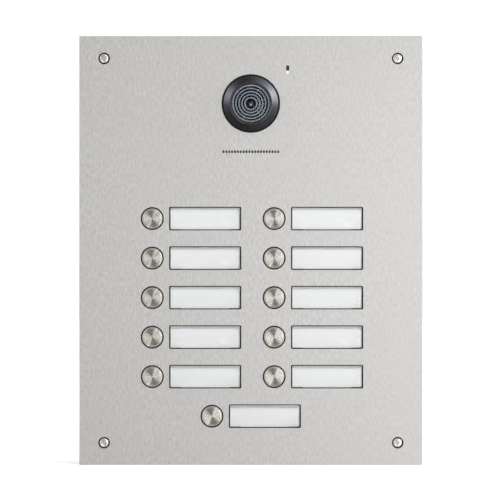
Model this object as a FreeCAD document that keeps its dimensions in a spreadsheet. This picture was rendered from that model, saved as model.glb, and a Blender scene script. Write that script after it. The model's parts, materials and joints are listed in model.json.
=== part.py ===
"""Flush-mounted door intercom panel: a stainless front plate with eleven call buttons, eleven name
windows, a camera and a loudspeaker, on a galvanised box that is set into the wall.

The frame: +Z is up, +X is to the right of a visitor, and the visitor looks along +Y.  The origin is the
centre of the four fixing holes in the back face of the box.  Parts that the front plate carries are
drawn in a local frame whose XZ plane is the front of the plate, with +Y going into the wall.
"""
import FreeCAD, Part
import math
import os
import re

import Sketcher

# Driving dimensions in millimetres: alias, value, meaning.
DIMENSIONS = [
    ("plate_w", 280, "front plate, width"),
    ("plate_h", 350, "front plate, height"),
    ("plate_t", 3, "front plate, thickness"),
    ("plate_corner_r", 1, "front plate, corner radius"),
    ("plate_edge", 0.3, "front plate, chamfer of the front edge"),
    ("thread_gap", 0.05, "radial clearance of screwed and pressed parts"),
    ("box_w", 262, "flush box, outside width"),
    ("box_h", 332, "flush box, outside height"),
    ("box_depth", 50, "flush box, depth"),
    ("box_wall", 1.5, "flush box, sheet thickness"),
    ("box_flange", 10, "flush box, width of the front flange"),
    ("box_corner", 22, "flush box, side of the corner gussets"),
    ("fixing_x", 100, "fixing holes, distance from the middle along X"),
    ("fixing_z", 130, "fixing holes, distance from the middle along Z"),
    ("fixing_r", 2.75, "fixing holes, radius"),
    ("tab_reach", 8, "anchor tabs, length beyond the box"),
    ("tab_w", 14, "anchor tabs, width"),
    ("tab_y", 25, "anchor tabs, distance from the back"),
    ("tab_z", 90, "anchor tabs, distance from the middle along Z"),
    ("knockout_r", 12, "knock-outs, radius"),
    ("knockout_groove", 0.8, "knock-outs, width and depth of the scored ring"),
    ("knockout_x", 60, "knock-outs, distance from the middle along X"),
    ("knockout_z", 105, "knock-outs, height of the pair in the back"),
    ("grommet_r", 10, "cable grommet, radius of the hole it sits in"),
    ("grommet_lip", 2.5, "cable grommet, how far the lips overlap the hole"),
    ("grommet_lip_t", 2, "cable grommet, thickness of a lip"),
    ("grommet_bore_r", 6, "cable grommet, bore radius"),
    ("gasket_t", 1.5, "plate gasket, thickness"),
    ("gasket_w", 259, "plate gasket, outside width"),
    ("gasket_h", 329, "plate gasket, outside height"),
    ("gasket_band_x", 5.5, "plate gasket, width of the upright runs"),
    ("gasket_band_z", 3.5, "plate gasket, width of the level runs"),
    ("screw_x", 119.8, "cover screws, distance from the middle along X"),
    ("screw_z", 156.8, "cover screws, distance from the middle along Z"),
    ("screw_r", 1.95, "cover screws, thread radius"),
    ("screw_length", 12, "cover screws, length under the head"),
    ("screw_head_r", 3.75, "cover screws, head radius"),
    ("screw_head_h", 2, "cover screws, head height"),
    ("screw_crown_r", 2.5, "cover screws, radius of the flat crown"),
    ("screw_crown_h", 0.9, "cover screws, height of the sloping edge"),
    ("screw_recess_r", 1.25, "cover screws, radius of the star recess between its lobes"),
    ("screw_lobe_r", 0.38, "cover screws, radius of a lobe"),
    ("screw_pin_r", 0.45, "cover screws, radius of the tamper pin"),
    ("screw_recess_h", 1.2, "cover screws, depth of the recess"),
    ("screw_hole_r", 2.3, "plate holes for the screws, radius"),
    ("screw_sink_r", 4.75, "plate holes for the screws, radius of the counterbore"),
    ("screw_sink_h", 2.2, "plate holes for the screws, depth of the counterbore"),
    ("washer_r", 4.6, "sealing washers, radius"),
    ("washer_t", 0.4, "sealing washers, thickness"),
    ("insert_r", 3, "threaded inserts, body radius"),
    ("insert_flange_r", 4, "threaded inserts, flange radius"),
    ("insert_flange_t", 0.7, "threaded inserts, flange thickness"),
    ("insert_length", 9, "threaded inserts, length behind the flange"),
    ("column_left_x", -80.5, "call buttons, X of the left column"),
    ("column_right_x", 19, "call buttons, X of the right column"),
    ("bottom_button_x", -31.8, "call buttons, X of the single button below"),
    ("first_row_z", 26.1, "call buttons, Z of the first row"),
    ("row_pitch", 32.25, "call buttons, distance from row to row"),
    ("window_shift", 43.2, "name windows, X from the button to the window"),
    ("button_hole_r", 9.4, "button holes in the plate, radius"),
    ("cap_r", 8.25, "button caps, radius"),
    ("cap_face_r", 6.95, "button caps, radius of the flat face"),
    ("cap_proud", 0.3, "button caps, height of the face over the plate"),
    ("cap_bevel", 0.7, "button caps, depth of the bevel"),
    ("cap_flange_r", 9.3, "button caps, radius of the retaining flange"),
    ("cap_flange_y", 4.3, "button caps, depth of the front of the flange"),
    ("cap_flange_t", 1.2, "button caps, thickness of the flange"),
    ("cap_bore_r", 6.4, "button caps, radius of the hollow"),
    ("cap_face_t", 1.4, "button caps, thickness behind the plate front"),
    ("cap_boss_r", 2.2, "button caps, radius of the boss over the switch"),
    ("cap_boss_h", 0.1, "button caps, height of the boss behind the flange"),
    ("sleeve_r", 9.25, "button sleeves, radius in the plate"),
    ("sleeve_front_y", 0.5, "button sleeves, depth of the front rim"),
    ("sleeve_bore_r", 8.55, "button sleeves, radius of the guide bore"),
    ("sleeve_stop_y", 4.2, "button sleeves, depth of the stop shoulder"),
    ("sleeve_wide_r", 9.9, "button sleeves, radius of the bore behind the shoulder"),
    ("sleeve_body_r", 11.2, "button sleeves, radius behind the plate"),
    ("spring_wire_r", 0.3, "return springs, wire radius"),
    ("spring_mean_r", 7.6, "return springs, mean radius"),
    ("spring_turns", 3, "return springs, number of turns"),
    ("spring_gap", 0.08, "return springs, clearance at each end"),
    ("switch_w", 6, "push switches, side of the body"),
    ("switch_body_y", 7.5, "push switches, depth of the front of the body"),
    ("switch_tip_y", 7.2, "push switches, depth of the plunger tip"),
    ("switch_tip_r", 1.6, "push switches, plunger radius"),
    ("stack_y", 10, "circuit boards, depth of their front behind the plate front"),
    ("board_t", 1.6, "circuit boards, thickness"),
    ("board_shift", 32.5, "call boards, X from the button to the middle of the board"),
    ("board_w", 87, "call boards, width"),
    ("board_h", 155, "call boards, height of the two column boards"),
    ("bottom_board_h", 36, "call boards, height of the single board below"),
    ("stud_dx", 40, "studs, X from the middle of a column board"),
    ("bottom_stud_dx", 38, "studs, X from the middle of the board below"),
    ("bottom_stud_dz", 15.5, "studs, Z from the middle of the board below"),
    ("stud_collar_r", 2.75, "studs, collar radius"),
    ("stud_thread_r", 1.45, "studs, thread radius"),
    ("stud_thread_h", 6.5, "studs, thread length"),
    ("stud_hole_r", 1.6, "holes over the studs, radius"),
    ("nut_flats", 5.5, "stud nuts, width across flats"),
    ("nut_t", 2.4, "stud nuts, thickness"),
    ("window_w", 58.9, "name windows, width of the opening"),
    ("window_h", 19.3, "name windows, height of the opening"),
    ("window_corner_r", 1.2, "name windows, corner radius"),
    ("cover_w", 57.3, "name covers, width"),
    ("cover_h", 17.7, "name covers, height"),
    ("cover_front_y", 0.9, "name covers, depth of the front face"),
    ("cover_t", 2.3, "name covers, thickness"),
    ("cover_bevel", 0.8, "name covers, depth of the bevelled border"),
    ("cover_border", 1.7, "name covers, width of the bevelled border"),
    ("cover_leg_w", 0.5, "name covers, thickness of a leg"),
    ("cover_leg_h", 6, "name covers, height of a leg"),
    ("cover_leg_y", 5, "name covers, length of a leg"),
    ("notch_w", 8, "name covers, width of the two lifting notches"),
    ("notch_h", 1, "name covers, height of the notches"),
    ("notch_end", 0.9, "name covers, distance of the notches from the ends"),
    ("tray_w", 62.4, "name trays, width"),
    ("tray_h", 25.2, "name trays, height"),
    ("tray_mouth_w", 58.3, "name trays, width of the recess for the cover"),
    ("tray_mouth_h", 18.7, "name trays, height of the recess for the cover"),
    ("tray_ledge_y", 4.1, "name trays, depth of the ledge for the label"),
    ("tray_light_w", 50, "name trays, width of the light shaft"),
    ("tray_light_h", 12.6, "name trays, height of the light shaft"),
    ("tray_slot_x", 28.1, "name trays, inner edge of the slots for the legs"),
    ("tray_slot_w", 0.65, "name trays, width of the slots"),
    ("tray_slot_h", 6.8, "name trays, height of the slots"),
    ("label_w", 56.1, "name labels, width"),
    ("label_h", 17.3, "name labels, height"),
    ("label_t", 0.3, "name labels, thickness"),
    ("led_x", 12, "label lights, X from the middle of the window"),
    ("led_w", 3, "lights, width"),
    ("led_h", 2, "lights, height"),
    ("led_t", 1, "lights, thickness"),
    ("camera_z", 120, "camera, Z of its axis"),
    ("camera_hole_r", 21.1, "camera hole in the plate, radius"),
    ("seal_r", 23.85, "camera seal, outside radius"),
    ("seal_bore_r", 20.95, "camera seal, inside radius"),
    ("seal_t", 1, "camera seal, thickness"),
    ("bezel_r", 22.4, "camera bezel, radius at the foot of the cone"),
    ("bezel_foot", 0.7, "camera bezel, height of the upright foot"),
    ("bezel_top_r", 17.3, "camera bezel, radius at the top of the cone"),
    ("bezel_h", 6.6, "camera bezel, height over the plate"),
    ("bezel_lip_r", 15.95, "camera bezel, radius inside the lip"),
    ("bezel_lip_t", 1.2, "camera bezel, thickness of the lip"),
    ("bezel_neck_r", 20.8, "camera bezel, radius of the threaded neck"),
    ("bezel_bore_r", 16.6, "camera bezel, bore radius"),
    ("bezel_neck_y", 9, "camera bezel, depth of the end of the neck"),
    ("ring_nut_r", 24, "camera ring nut, radius"),
    ("ring_nut_bore_r", 20.85, "camera ring nut, bore radius"),
    ("ring_nut_t", 4, "camera ring nut, thickness"),
    ("ring_nut_slot", 4, "camera ring nut, width of the spanner slots"),
    ("dome_r", 15.7, "camera window, radius of the dome"),
    ("dome_rim_r", 16.4, "camera window, radius of the rim"),
    ("dome_rim_t", 1.5, "camera window, thickness of the rim"),
    ("dome_h", 3.2, "camera window, height of the dome over the rim"),
    ("dome_t", 1.5, "camera window, thickness of the dome"),
    ("baffle_r", 16.4, "camera baffle, outside radius"),
    ("baffle_rim_r", 13.9, "camera baffle, inside radius of the rim"),
    ("baffle_step", 1.2, "camera baffle, radial width of a tread or riser"),
    ("baffle_rise", 1.4, "camera baffle, height of a step"),
    ("baffle_front", 3.6, "camera baffle, height of the rim over the plate"),
    ("baffle_end_y", 6, "camera baffle, depth of its back"),
    ("barrel_nose_r", 4.1, "lens barrel, radius of the nose"),
    ("barrel_nose_y", 3, "lens barrel, depth of the nose"),
    ("barrel_mouth_r", 3.6, "lens barrel, radius of the mouth"),
    ("barrel_r", 6, "lens barrel, thread radius"),
    ("barrel_step_y", 7, "lens barrel, depth of the step to the thread"),
    ("barrel_bore_r", 2.4, "lens barrel, bore radius"),
    ("barrel_lip_r", 1.75, "lens barrel, radius of the lip over the edge of the lens"),
    ("barrel_lip_y", 4.4, "lens barrel, depth of the front of the lip"),
    ("barrel_bore_y", 4.55, "lens barrel, depth of the seat behind the lip"),
    ("barrel_end_y", 16, "lens barrel, depth of its end"),
    ("lens_r", 2.35, "camera lens, radius"),
    ("lens_edge_y", 5, "camera lens, depth of the edge of the crown"),
    ("lens_crown", 0.7, "camera lens, height of the crown"),
    ("lens_end_y", 8, "camera lens, depth of its back"),
    ("housing_r", 20.5, "camera housing, outside radius"),
    ("housing_wall", 2, "camera housing, wall thickness"),
    ("housing_end_y", 27, "camera housing, depth of its back"),
    ("housing_thread_r", 6.05, "camera housing, radius of the hole for the barrel"),
    ("housing_slot_w", 14, "camera housing, width of the cable slot"),
    ("housing_slot_h", 4, "camera housing, height of the cable slot"),
    ("housing_slot_x", 6, "camera housing, X of the cable slot"),
    ("camera_board_r", 18.2, "camera board, radius"),
    ("camera_board_y", 19, "camera board, depth of its front"),
    ("sensor_w", 8, "image sensor, side"),
    ("sensor_t", 1.2, "image sensor, thickness"),
    ("speaker_z", 73, "loudspeaker, Z of its axis"),
    ("speaker_slot_z", 80.7, "sound slots, Z of the row"),
    ("speaker_slot_w", 1.5, "sound slots, width"),
    ("speaker_slot_h", 2.4, "sound slots, height"),
    ("speaker_slot_pitch", 2.36, "sound slots, distance from slot to slot"),
    ("speaker_slot_count", 20, "sound slots, number in the row"),
    ("collar_w", 52.6, "speaker gasket, width"),
    ("collar_h", 40, "speaker gasket, height"),
    ("collar_band", 2, "speaker gasket, wall thickness"),
    ("speaker_w", 66, "speaker frame, width of the flange"),
    ("speaker_h", 42, "speaker frame, height of the flange"),
    ("speaker_mouth_r", 18.4, "speaker frame, radius of the mouth"),
    ("speaker_basket_y", 19, "speaker frame, depth of the back of the basket"),
    ("speaker_basket_r", 11, "speaker frame, radius at the back of the basket"),
    ("speaker_wall", 1.2, "speaker frame, sheet thickness"),
    ("speaker_stud_x", 29.5, "studs, X from the axis of the loudspeaker"),
    ("speaker_stud_z", 14, "studs, Z from the axis of the loudspeaker"),
    ("cone_r", 18, "speaker cone, radius"),
    ("cone_neck_r", 5, "speaker cone, radius at the voice coil"),
    ("cone_y", 11, "speaker cone, depth of its edge"),
    ("cone_neck_y", 17.4, "speaker cone, depth at the voice coil"),
    ("cone_t", 0.6, "speaker cone, thickness"),
    ("magnet_r", 10.5, "speaker magnet, radius"),
    ("magnet_t", 6.5, "speaker magnet, thickness"),
    ("talk_x", 30, "microphone slot, X"),
    ("talk_z", 147.6, "microphone slot, Z of its middle"),
    ("talk_w", 2.4, "microphone slot, width"),
    ("talk_h", 7.3, "microphone slot, height"),
    ("pipe_w", 2.2, "light pipe, width in the slot"),
    ("pipe_h", 3, "light pipe, height in the slot"),
    ("pipe_front_y", 0.15, "light pipe, depth of its front"),
    ("pipe_foot_w", 5, "light pipe, width of the foot"),
    ("pipe_foot_z", 142.6, "light pipe, Z of the bottom of the foot"),
    ("pipe_foot_h", 4.4, "light pipe, height of the foot"),
    ("boot_w", 10, "microphone boot, width"),
    ("boot_h", 8.2, "microphone boot, height"),
    ("boot_z", 151.4, "microphone boot, Z of its middle"),
    ("boot_duct_w", 2.4, "microphone boot, width of the sound duct"),
    ("boot_duct_h", 3, "microphone boot, height of the sound duct"),
    ("boot_duct_z", 149.3, "microphone boot, Z of the sound duct"),
    ("capsule_r", 3, "microphone capsule, radius"),
    ("capsule_y", 5, "microphone capsule, depth of its front"),
    ("capsule_t", 4.4, "microphone capsule, thickness"),
    ("capsule_z", 151, "microphone capsule, Z of its axis"),
    ("main_left_x", 22, "main board, X of the upper left edge"),
    ("main_inner_x", 40, "main board, X of the lower left edge"),
    ("main_right_x", 113, "main board, X of the right edge"),
    ("main_bottom_z", 50, "main board, Z of the bottom edge"),
    ("main_notch_z", 138, "main board, Z of the inner corner"),
    ("main_top_z", 155, "main board, Z of the top edge"),
    ("main_stud_x", 50, "studs, X of the inner pair of the main board"),
    ("main_stud_far_x", 104, "studs, X of the outer pair of the main board"),
    ("main_stud_z", 60, "studs, Z of the lower pair of the main board"),
    ("main_stud_top_z", 148, "studs, Z of the upper pair of the main board"),
    ("terminal_pitch", 5, "terminal block, distance from pole to pole"),
    ("terminal_count", 8, "terminal block, number of poles"),
    ("terminal_x", 60, "terminal block, X of its left end"),
    ("terminal_z", 52, "terminal block, Z of its bottom"),
    ("terminal_h", 10, "terminal block, height"),
    ("terminal_t", 12, "terminal block, depth"),
    ("terminal_mouth", 3.6, "terminal block, side of the wire openings"),
    ("terminal_screw_r", 1.7, "terminal block, radius of the screw wells"),
    ("terminal_well", 5, "terminal block, depth of the openings and wells"),
    ("processor_w", 14, "processor, side"),
    ("processor_t", 1.8, "processor, thickness"),
    ("processor_x", 56, "processor, X of its left edge"),
    ("processor_z", 94, "processor, Z of its bottom edge"),
    ("codec_w", 9, "audio chips, width"),
    ("codec_h", 7, "audio chips, height"),
    ("codec_t", 1.6, "audio chips, thickness"),
    ("codec_x", 26, "audio codec, X of its left edge"),
    ("codec_z", 142, "audio codec, Z of its bottom edge"),
    ("amplifier_x", 46, "speaker amplifier, X of its left edge"),
    ("amplifier_z", 72, "speaker amplifier, Z of its bottom edge"),
    ("relay_w", 19, "door relay, width"),
    ("relay_h", 15.5, "door relay, height"),
    ("relay_t", 15, "door relay, depth"),
    ("relay_x", 83, "door relay, X of its left edge"),
    ("relay_z", 76, "door relay, Z of its bottom edge"),
    ("capacitor_r", 5, "capacitors, radius"),
    ("capacitor_t", 12.5, "capacitors, length"),
    ("capacitor_x", 87, "capacitors, X of the first"),
    ("capacitor_z", 112, "capacitors, Z of both"),
    ("capacitor_pitch", 14, "capacitors, distance between them"),
    ("ribbon_t", 0.9, "ribbon cables, thickness"),
    ("ribbon_w", 12, "ribbon cables, width"),
    ("ribbon_rise", 3.4, "ribbon cables, height of the arch over the boards"),
    ("ribbon_camera_rise", 4, "ribbon cables, height of the arch over the camera"),
    ("ribbon_foot_x", 45, "ribbon cables, X of the feet on the side of the main board"),
    ("ribbon_call_z", 33.1, "main ribbon cable, Z of its foot on the call board"),
    ("ribbon_main_z", 51.8, "main ribbon cable, Z of its foot on the main board"),
    ("ribbon_near_x", -10, "ribbon cable between the call boards, X of its left foot"),
    ("ribbon_far_x", 14, "ribbon cable between the call boards, X of its right foot"),
    ("ribbon_bottom_x", -15, "ribbon cable to the board below, X"),
    ("ribbon_low_dz", -20, "ribbon cable to the board below, lower foot from the last row"),
    ("ribbon_high_dz", -8, "ribbon cable to the board below, upper foot from the last row"),
]

SHEET = "Dims"
FRONT = "-(box_depth + gasket_t + plate_t)"
COLUMN_ROWS = 5
STATIONS = [("column_left_x", row) for row in range(COLUMN_ROWS)]
STATIONS += [("column_right_x", row) for row in range(COLUMN_ROWS)]
STATIONS += [("bottom_button_x", COLUMN_ROWS)]
SIGNS = [(1, 1), (-1, 1), (-1, -1), (1, -1)]

document = FreeCAD.newDocument("door_intercom_panel")
sheet = document.addObject("Spreadsheet::Sheet", SHEET)
subparts = []


# ---- sheet and expressions -------------------------------------------------------------------------

def fill_sheet():
    """Put every driving dimension in the sheet, with its meaning beside it."""
    for row, (alias, value, meaning) in enumerate(DIMENSIONS, start=1):
        sheet.set("A%d" % row, meaning)
        sheet.set("B%d" % row, str(value))
        sheet.setAlias("B%d" % row, alias)
    document.recompute()


def on_sheet(expression):
    """The same expression with the sheet's name in front of every alias."""
    return re.sub(r"[a-z]+_\w+", lambda alias: "%s.%s" % (SHEET, alias.group()), expression)


def size(expression):
    """The present value of an expression of aliases."""
    return float(sheet.evalExpression(on_sheet(expression)))


def bind(thing, property_name, expression):
    thing.setExpression(property_name, on_sheet(expression))


def place(thing, property_name, where):
    """Bind the three coordinates of a placement to expressions."""
    for axis, expression in zip("xyz", where):
        bind(thing, "%s.Base.%s" % (property_name, axis), expression)


def station_places(depth="0", shift="0"):
    """Where each call station's button is, or a point beside or behind it."""
    return [("%s + %s" % (column, shift), "%s + %s" % (FRONT, depth), row_z(row))
            for column, row in STATIONS]


def row_z(row):
    return "first_row_z - %g * row_pitch" % row


# ---- sketches --------------------------------------------------------------------------------------

def new_sketch(body, name, depth="0", plane="XZ_Plane"):
    """A sketch on one of the body's own planes, or parallel to it at a depth against its normal."""
    sketch = body.newObject("Sketcher::SketchObject", name)
    support = next(item for item in body.Origin.OriginFeatures if item.Role == plane)
    sketch.AttachmentSupport = [(support, "")]
    sketch.MapMode = "FlatFace"
    bind(sketch, "AttachmentOffset.Base.z", "-(%s)" % depth)
    return sketch


def fix_point(sketch, geometry, vertex, x, y):
    """Hold one point of a sketch at a pair of expressions."""
    for kind, expression in (("DistanceX", x), ("DistanceY", y)):
        constraint = Sketcher.Constraint(kind, -1, 1, geometry, vertex, size(expression))
        index = sketch.addConstraint(constraint)
        bind(sketch, "Constraints[%d]" % index, expression)


def fix_radius(sketch, geometry, radius):
    index = sketch.addConstraint(Sketcher.Constraint("Radius", geometry, size(radius)))
    bind(sketch, "Constraints[%d]" % index, radius)


def circle(sketch, radius, x="0", y="0"):
    centre = FreeCAD.Vector(size(x), size(y), 0)
    index = sketch.addGeometry(Part.Circle(centre, FreeCAD.Vector(0, 0, 1), size(radius)))
    fix_point(sketch, index, 3, x, y)
    fix_radius(sketch, index, radius)


def arc_on_axis(start, end):
    """An arc between two points, with its centre on the sketch's x axis, bulging away from it."""
    middle = (end.x ** 2 + end.y ** 2 - start.x ** 2 - start.y ** 2) / (2 * (end.x - start.x))
    radius = math.hypot(start.x - middle, start.y)
    angles = [math.atan2(point.y, point.x - middle) for point in (start, end)]
    full = Part.Circle(FreeCAD.Vector(middle, 0, 0), FreeCAD.Vector(0, 0, 1), radius)
    return Part.ArcOfCircle(full, min(angles), max(angles)), angles[0] > angles[1]


def outline(sketch, points, arcs=()):
    """A closed outline through pairs of expressions.  The edges numbered in arcs are centred on the
    sketch's x axis, and the others are straight."""
    first = sketch.GeometryCount
    corners = [FreeCAD.Vector(size(x), size(y), 0) for x, y in points]
    flipped = []
    for number, corner in enumerate(corners):
        following = corners[(number + 1) % len(corners)]
        if number in arcs:
            edge, turned = arc_on_axis(corner, following)
        else:
            edge, turned = Part.LineSegment(corner, following), False
        flipped.append(turned)
        sketch.addGeometry(edge)
    for number, (x, y) in enumerate(points):
        before = (number - 1) % len(points)
        begin = 2 if flipped[number] else 1
        finish = 1 if flipped[before] else 2
        sketch.addConstraint(Sketcher.Constraint("Coincident", first + before, finish,
                                                 first + number, begin))
        fix_point(sketch, first + number, begin, x, y)
    for number in arcs:
        sketch.addConstraint(Sketcher.Constraint("PointOnObject", first + number, 3, -1))


def rounded_outline(sketch, centres, radius):
    """The outline of a belt round equal circles, whose centres run anticlockwise."""
    first = sketch.GeometryCount
    count = len(centres)
    middles = [FreeCAD.Vector(size(x), size(y), 0) for x, y in centres]
    length = size(radius)
    headings = []
    for number, middle in enumerate(middles):
        step = middles[(number + 1) % count] - middle
        headings.append(math.atan2(step.y, step.x))
    for number, middle in enumerate(middles):
        begin = headings[number - 1] - math.pi / 2
        finish = headings[number] - math.pi / 2
        finish += 2 * math.pi * math.ceil((begin - finish) / (2 * math.pi))
        full = Part.Circle(middle, FreeCAD.Vector(0, 0, 1), length)
        sketch.addGeometry(Part.ArcOfCircle(full, begin, finish))
        outward = FreeCAD.Vector(math.cos(finish), math.sin(finish), 0) * length
        sketch.addGeometry(Part.LineSegment(middle + outward, middles[(number + 1) % count] + outward))
    for number, (x, y) in enumerate(centres):
        arc = first + 2 * number
        following = first + 2 * ((number + 1) % count)
        fix_point(sketch, arc, 3, x, y)
        fix_radius(sketch, arc, radius)
        sketch.addConstraint(Sketcher.Constraint("Tangent", arc, 2, arc + 1, 1))
        sketch.addConstraint(Sketcher.Constraint("Tangent", arc + 1, 2, following, 1))


def rounded_rectangle(sketch, width, height, radius, x="0", y="0"):
    centres = [("%s + %d * ((%s) / 2 - %s)" % (x, side, width, radius),
                "%s + %d * ((%s) / 2 - %s)" % (y, rise, height, radius)) for side, rise in SIGNS]
    rounded_outline(sketch, centres, radius)


def upright_slot(sketch, width, height, x="0", y="0"):
    """A slot with round ends, taller than it is wide."""
    reach = "((%s) - (%s)) / 2" % (height, width)
    rounded_outline(sketch, [(x, "%s + %s" % (y, reach)), (x, "%s - %s" % (y, reach))],
                    "(%s) / 2" % width)


def rectangle(sketch, width, height, x="0", y="0"):
    outline(sketch, [("%s + %d * (%s) / 2" % (x, side, width),
                      "%s + %d * (%s) / 2" % (y, rise, height)) for side, rise in SIGNS])


# ---- features --------------------------------------------------------------------------------------

def new_body(label, where=("0", FRONT, "0"), kept=True):
    """A body at a place.  A body that isn't kept is only copied by a group."""
    body = document.addObject("PartDesign::Body", label)
    body.Label = label
    place(body, "Placement", where)
    if kept:
        subparts.append(body)
    return body


def pad(body, sketch, length, reverse=True):
    """Raise a sketch; reversed, one on the XZ plane grows into the wall."""
    feature = body.newObject("PartDesign::Pad", sketch.Name + "_pad")
    feature.Profile = sketch
    feature.Reversed = reverse
    bind(feature, "Length", length)
    return feature


def pocket(body, sketch, length, reverse=False):
    """Sink a sketch; one on the XZ plane goes into the wall."""
    feature = body.newObject("PartDesign::Pocket", sketch.Name + "_pocket")
    feature.Profile = sketch
    feature.Reversed = reverse
    bind(feature, "Length", length)
    return feature


def turn(body, sketch, axis="H_Axis"):
    """Turn a profile about an axis of its sketch."""
    feature = body.newObject("PartDesign::Revolution", sketch.Name + "_turned")
    feature.Profile = sketch
    feature.ReferenceAxis = (sketch, [axis])
    feature.Angle = 360
    return feature


def turned_body(label, points, where=("0", FRONT, "0"), arcs=(), kept=True):
    """A body of revolution about its own Y axis, from pairs of depth and radius."""
    body = new_body(label, where, kept)
    sketch = new_sketch(body, label + "_profile", plane="YZ_Plane")
    outline(sketch, points, arcs)
    turn(body, sketch)
    return body


def repeat_round(body, feature, count):
    """Repeat a feature evenly round the body's Y axis."""
    pattern = body.newObject("PartDesign::PolarPattern", feature.Name + "_round")
    pattern.Originals = [feature]
    axis = next(item for item in body.Origin.OriginFeatures if item.Role == "Y_Axis")
    pattern.Axis = (axis, [""])
    pattern.Angle = 360
    pattern.Occurrences = count
    body.Tip = pattern


def repeat_along_x(body, feature, spacing, count):
    """Repeat a feature along +X; count is an expression."""
    pattern = body.newObject("PartDesign::LinearPattern", feature.Name + "_row")
    pattern.Originals = [feature]
    axis = next(item for item in body.Origin.OriginFeatures if item.Role == "X_Axis")
    pattern.Direction = (axis, [""])
    pattern.Mode = "Spacing"
    bind(pattern, "Offset", spacing)
    bind(pattern, "Occurrences", count)
    body.Tip = pattern


def group(label, members):
    """One sub-part made of separate solids."""
    compound = document.addObject("Part::Compound", label)
    compound.Label = label
    compound.Links = members
    subparts.append(compound)


def copies(label, master, places):
    """One sub-part made of the same solid at many places."""
    links = []
    for number, where in enumerate(places, start=1):
        link = document.addObject("App::Link", "%s_%d" % (label, number))
        link.LinkedObject = master
        place(link, "LinkPlacement", where)
        links.append(link)
    group(label, links)


# ---- plate, box and what holds them together -------------------------------------------------------

def screw_places(depth="0"):
    return [("%d * screw_x" % side, "%s + %s" % (FRONT, depth), "%d * screw_z" % rise)
            for side, rise in SIGNS]


def make_front_plate():
    body = new_body("front_plate")
    blank = new_sketch(body, "plate_blank")
    rounded_rectangle(blank, "plate_w", "plate_h", "plate_corner_r")
    slab = pad(body, blank, "plate_t")
    document.recompute()
    front_edges = ["Edge%d" % number for number, edge in enumerate(slab.Shape.Edges, start=1)
                   if edge.BoundBox.YMax - slab.Shape.BoundBox.YMin < size("plate_edge")]
    chamfer = body.newObject("PartDesign::Chamfer", "plate_front_edge")
    chamfer.Base = (slab, front_edges)
    bind(chamfer, "Size", "plate_edge")

    openings = new_sketch(body, "round_openings")
    circle(openings, "camera_hole_r", "0", "camera_z")
    for column, row in STATIONS:
        circle(openings, "button_hole_r", column, row_z(row))
    for side, rise in SIGNS:
        circle(openings, "screw_hole_r", "%d * screw_x" % side, "%d * screw_z" % rise)
    pocket(body, openings, "plate_t")

    sinks = new_sketch(body, "screw_sinks")
    for side, rise in SIGNS:
        circle(sinks, "screw_sink_r", "%d * screw_x" % side, "%d * screw_z" % rise)
    pocket(body, sinks, "screw_sink_h")

    for number, (column, row) in enumerate(STATIONS, start=1):
        window = new_sketch(body, "window_%d" % number)
        rounded_rectangle(window, "window_w", "window_h", "window_corner_r",
                          column + " + window_shift", row_z(row))
        pocket(body, window, "plate_t")

    talk = new_sketch(body, "talk_slot")
    upright_slot(talk, "talk_w", "talk_h", "talk_x", "talk_z")
    pocket(body, talk, "plate_t")

    sound = new_sketch(body, "sound_slot")
    upright_slot(sound, "speaker_slot_w", "speaker_slot_h",
                 "-(speaker_slot_count - 1) / 2 * speaker_slot_pitch", "speaker_slot_z")
    first_slot = pocket(body, sound, "plate_t")
    repeat_along_x(body, first_slot, "speaker_slot_pitch", "speaker_slot_count")


def make_cover_screws():
    """Tamper-proof screws: a star recess with a pin in the middle."""
    top = "screw_sink_h - washer_t - screw_head_h"
    under = "screw_sink_h - washer_t"
    end = under + " + screw_length"
    floor = top + " + screw_recess_h"
    points = [(top, "0"), (top, "screw_pin_r"), (floor, "screw_pin_r"), (floor, "screw_recess_r"),
              (top, "screw_recess_r"), (top, "screw_crown_r"), (top + " + screw_crown_h", "screw_head_r"),
              (under, "screw_head_r"), (under, "screw_r"), (end, "screw_r"), (end, "0")]
    master = turned_body("cover_screw", points, ("0", "0", "0"), kept=False)
    lobe = new_sketch(master, "screw_lobe", depth=top)
    circle(lobe, "screw_lobe_r", "0", "screw_recess_r")
    repeat_round(master, pocket(master, lobe, "screw_recess_h"), 6)
    copies("cover_screws", master, screw_places())


def make_ring(label, inner, outer, thickness, kept=False):
    """A flat ring on the XZ plane that grows into the wall."""
    body = new_body(label, ("0", "0", "0"), kept)
    sketch = new_sketch(body, label + "_ring")
    circle(sketch, outer)
    circle(sketch, inner)
    pad(body, sketch, thickness)
    return body


def make_screw_washers():
    master = make_ring("screw_washer", "screw_hole_r", "washer_r", "washer_t")
    copies("screw_washers", master, screw_places("screw_sink_h - washer_t"))


def make_plate_gasket():
    body = new_body("plate_gasket")
    sketch = new_sketch(body, "gasket_frame", depth="plate_t")
    rectangle(sketch, "gasket_w", "gasket_h")
    rectangle(sketch, "gasket_w - 2 * gasket_band_x", "gasket_h - 2 * gasket_band_z")
    pad(body, sketch, "gasket_t")


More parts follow.
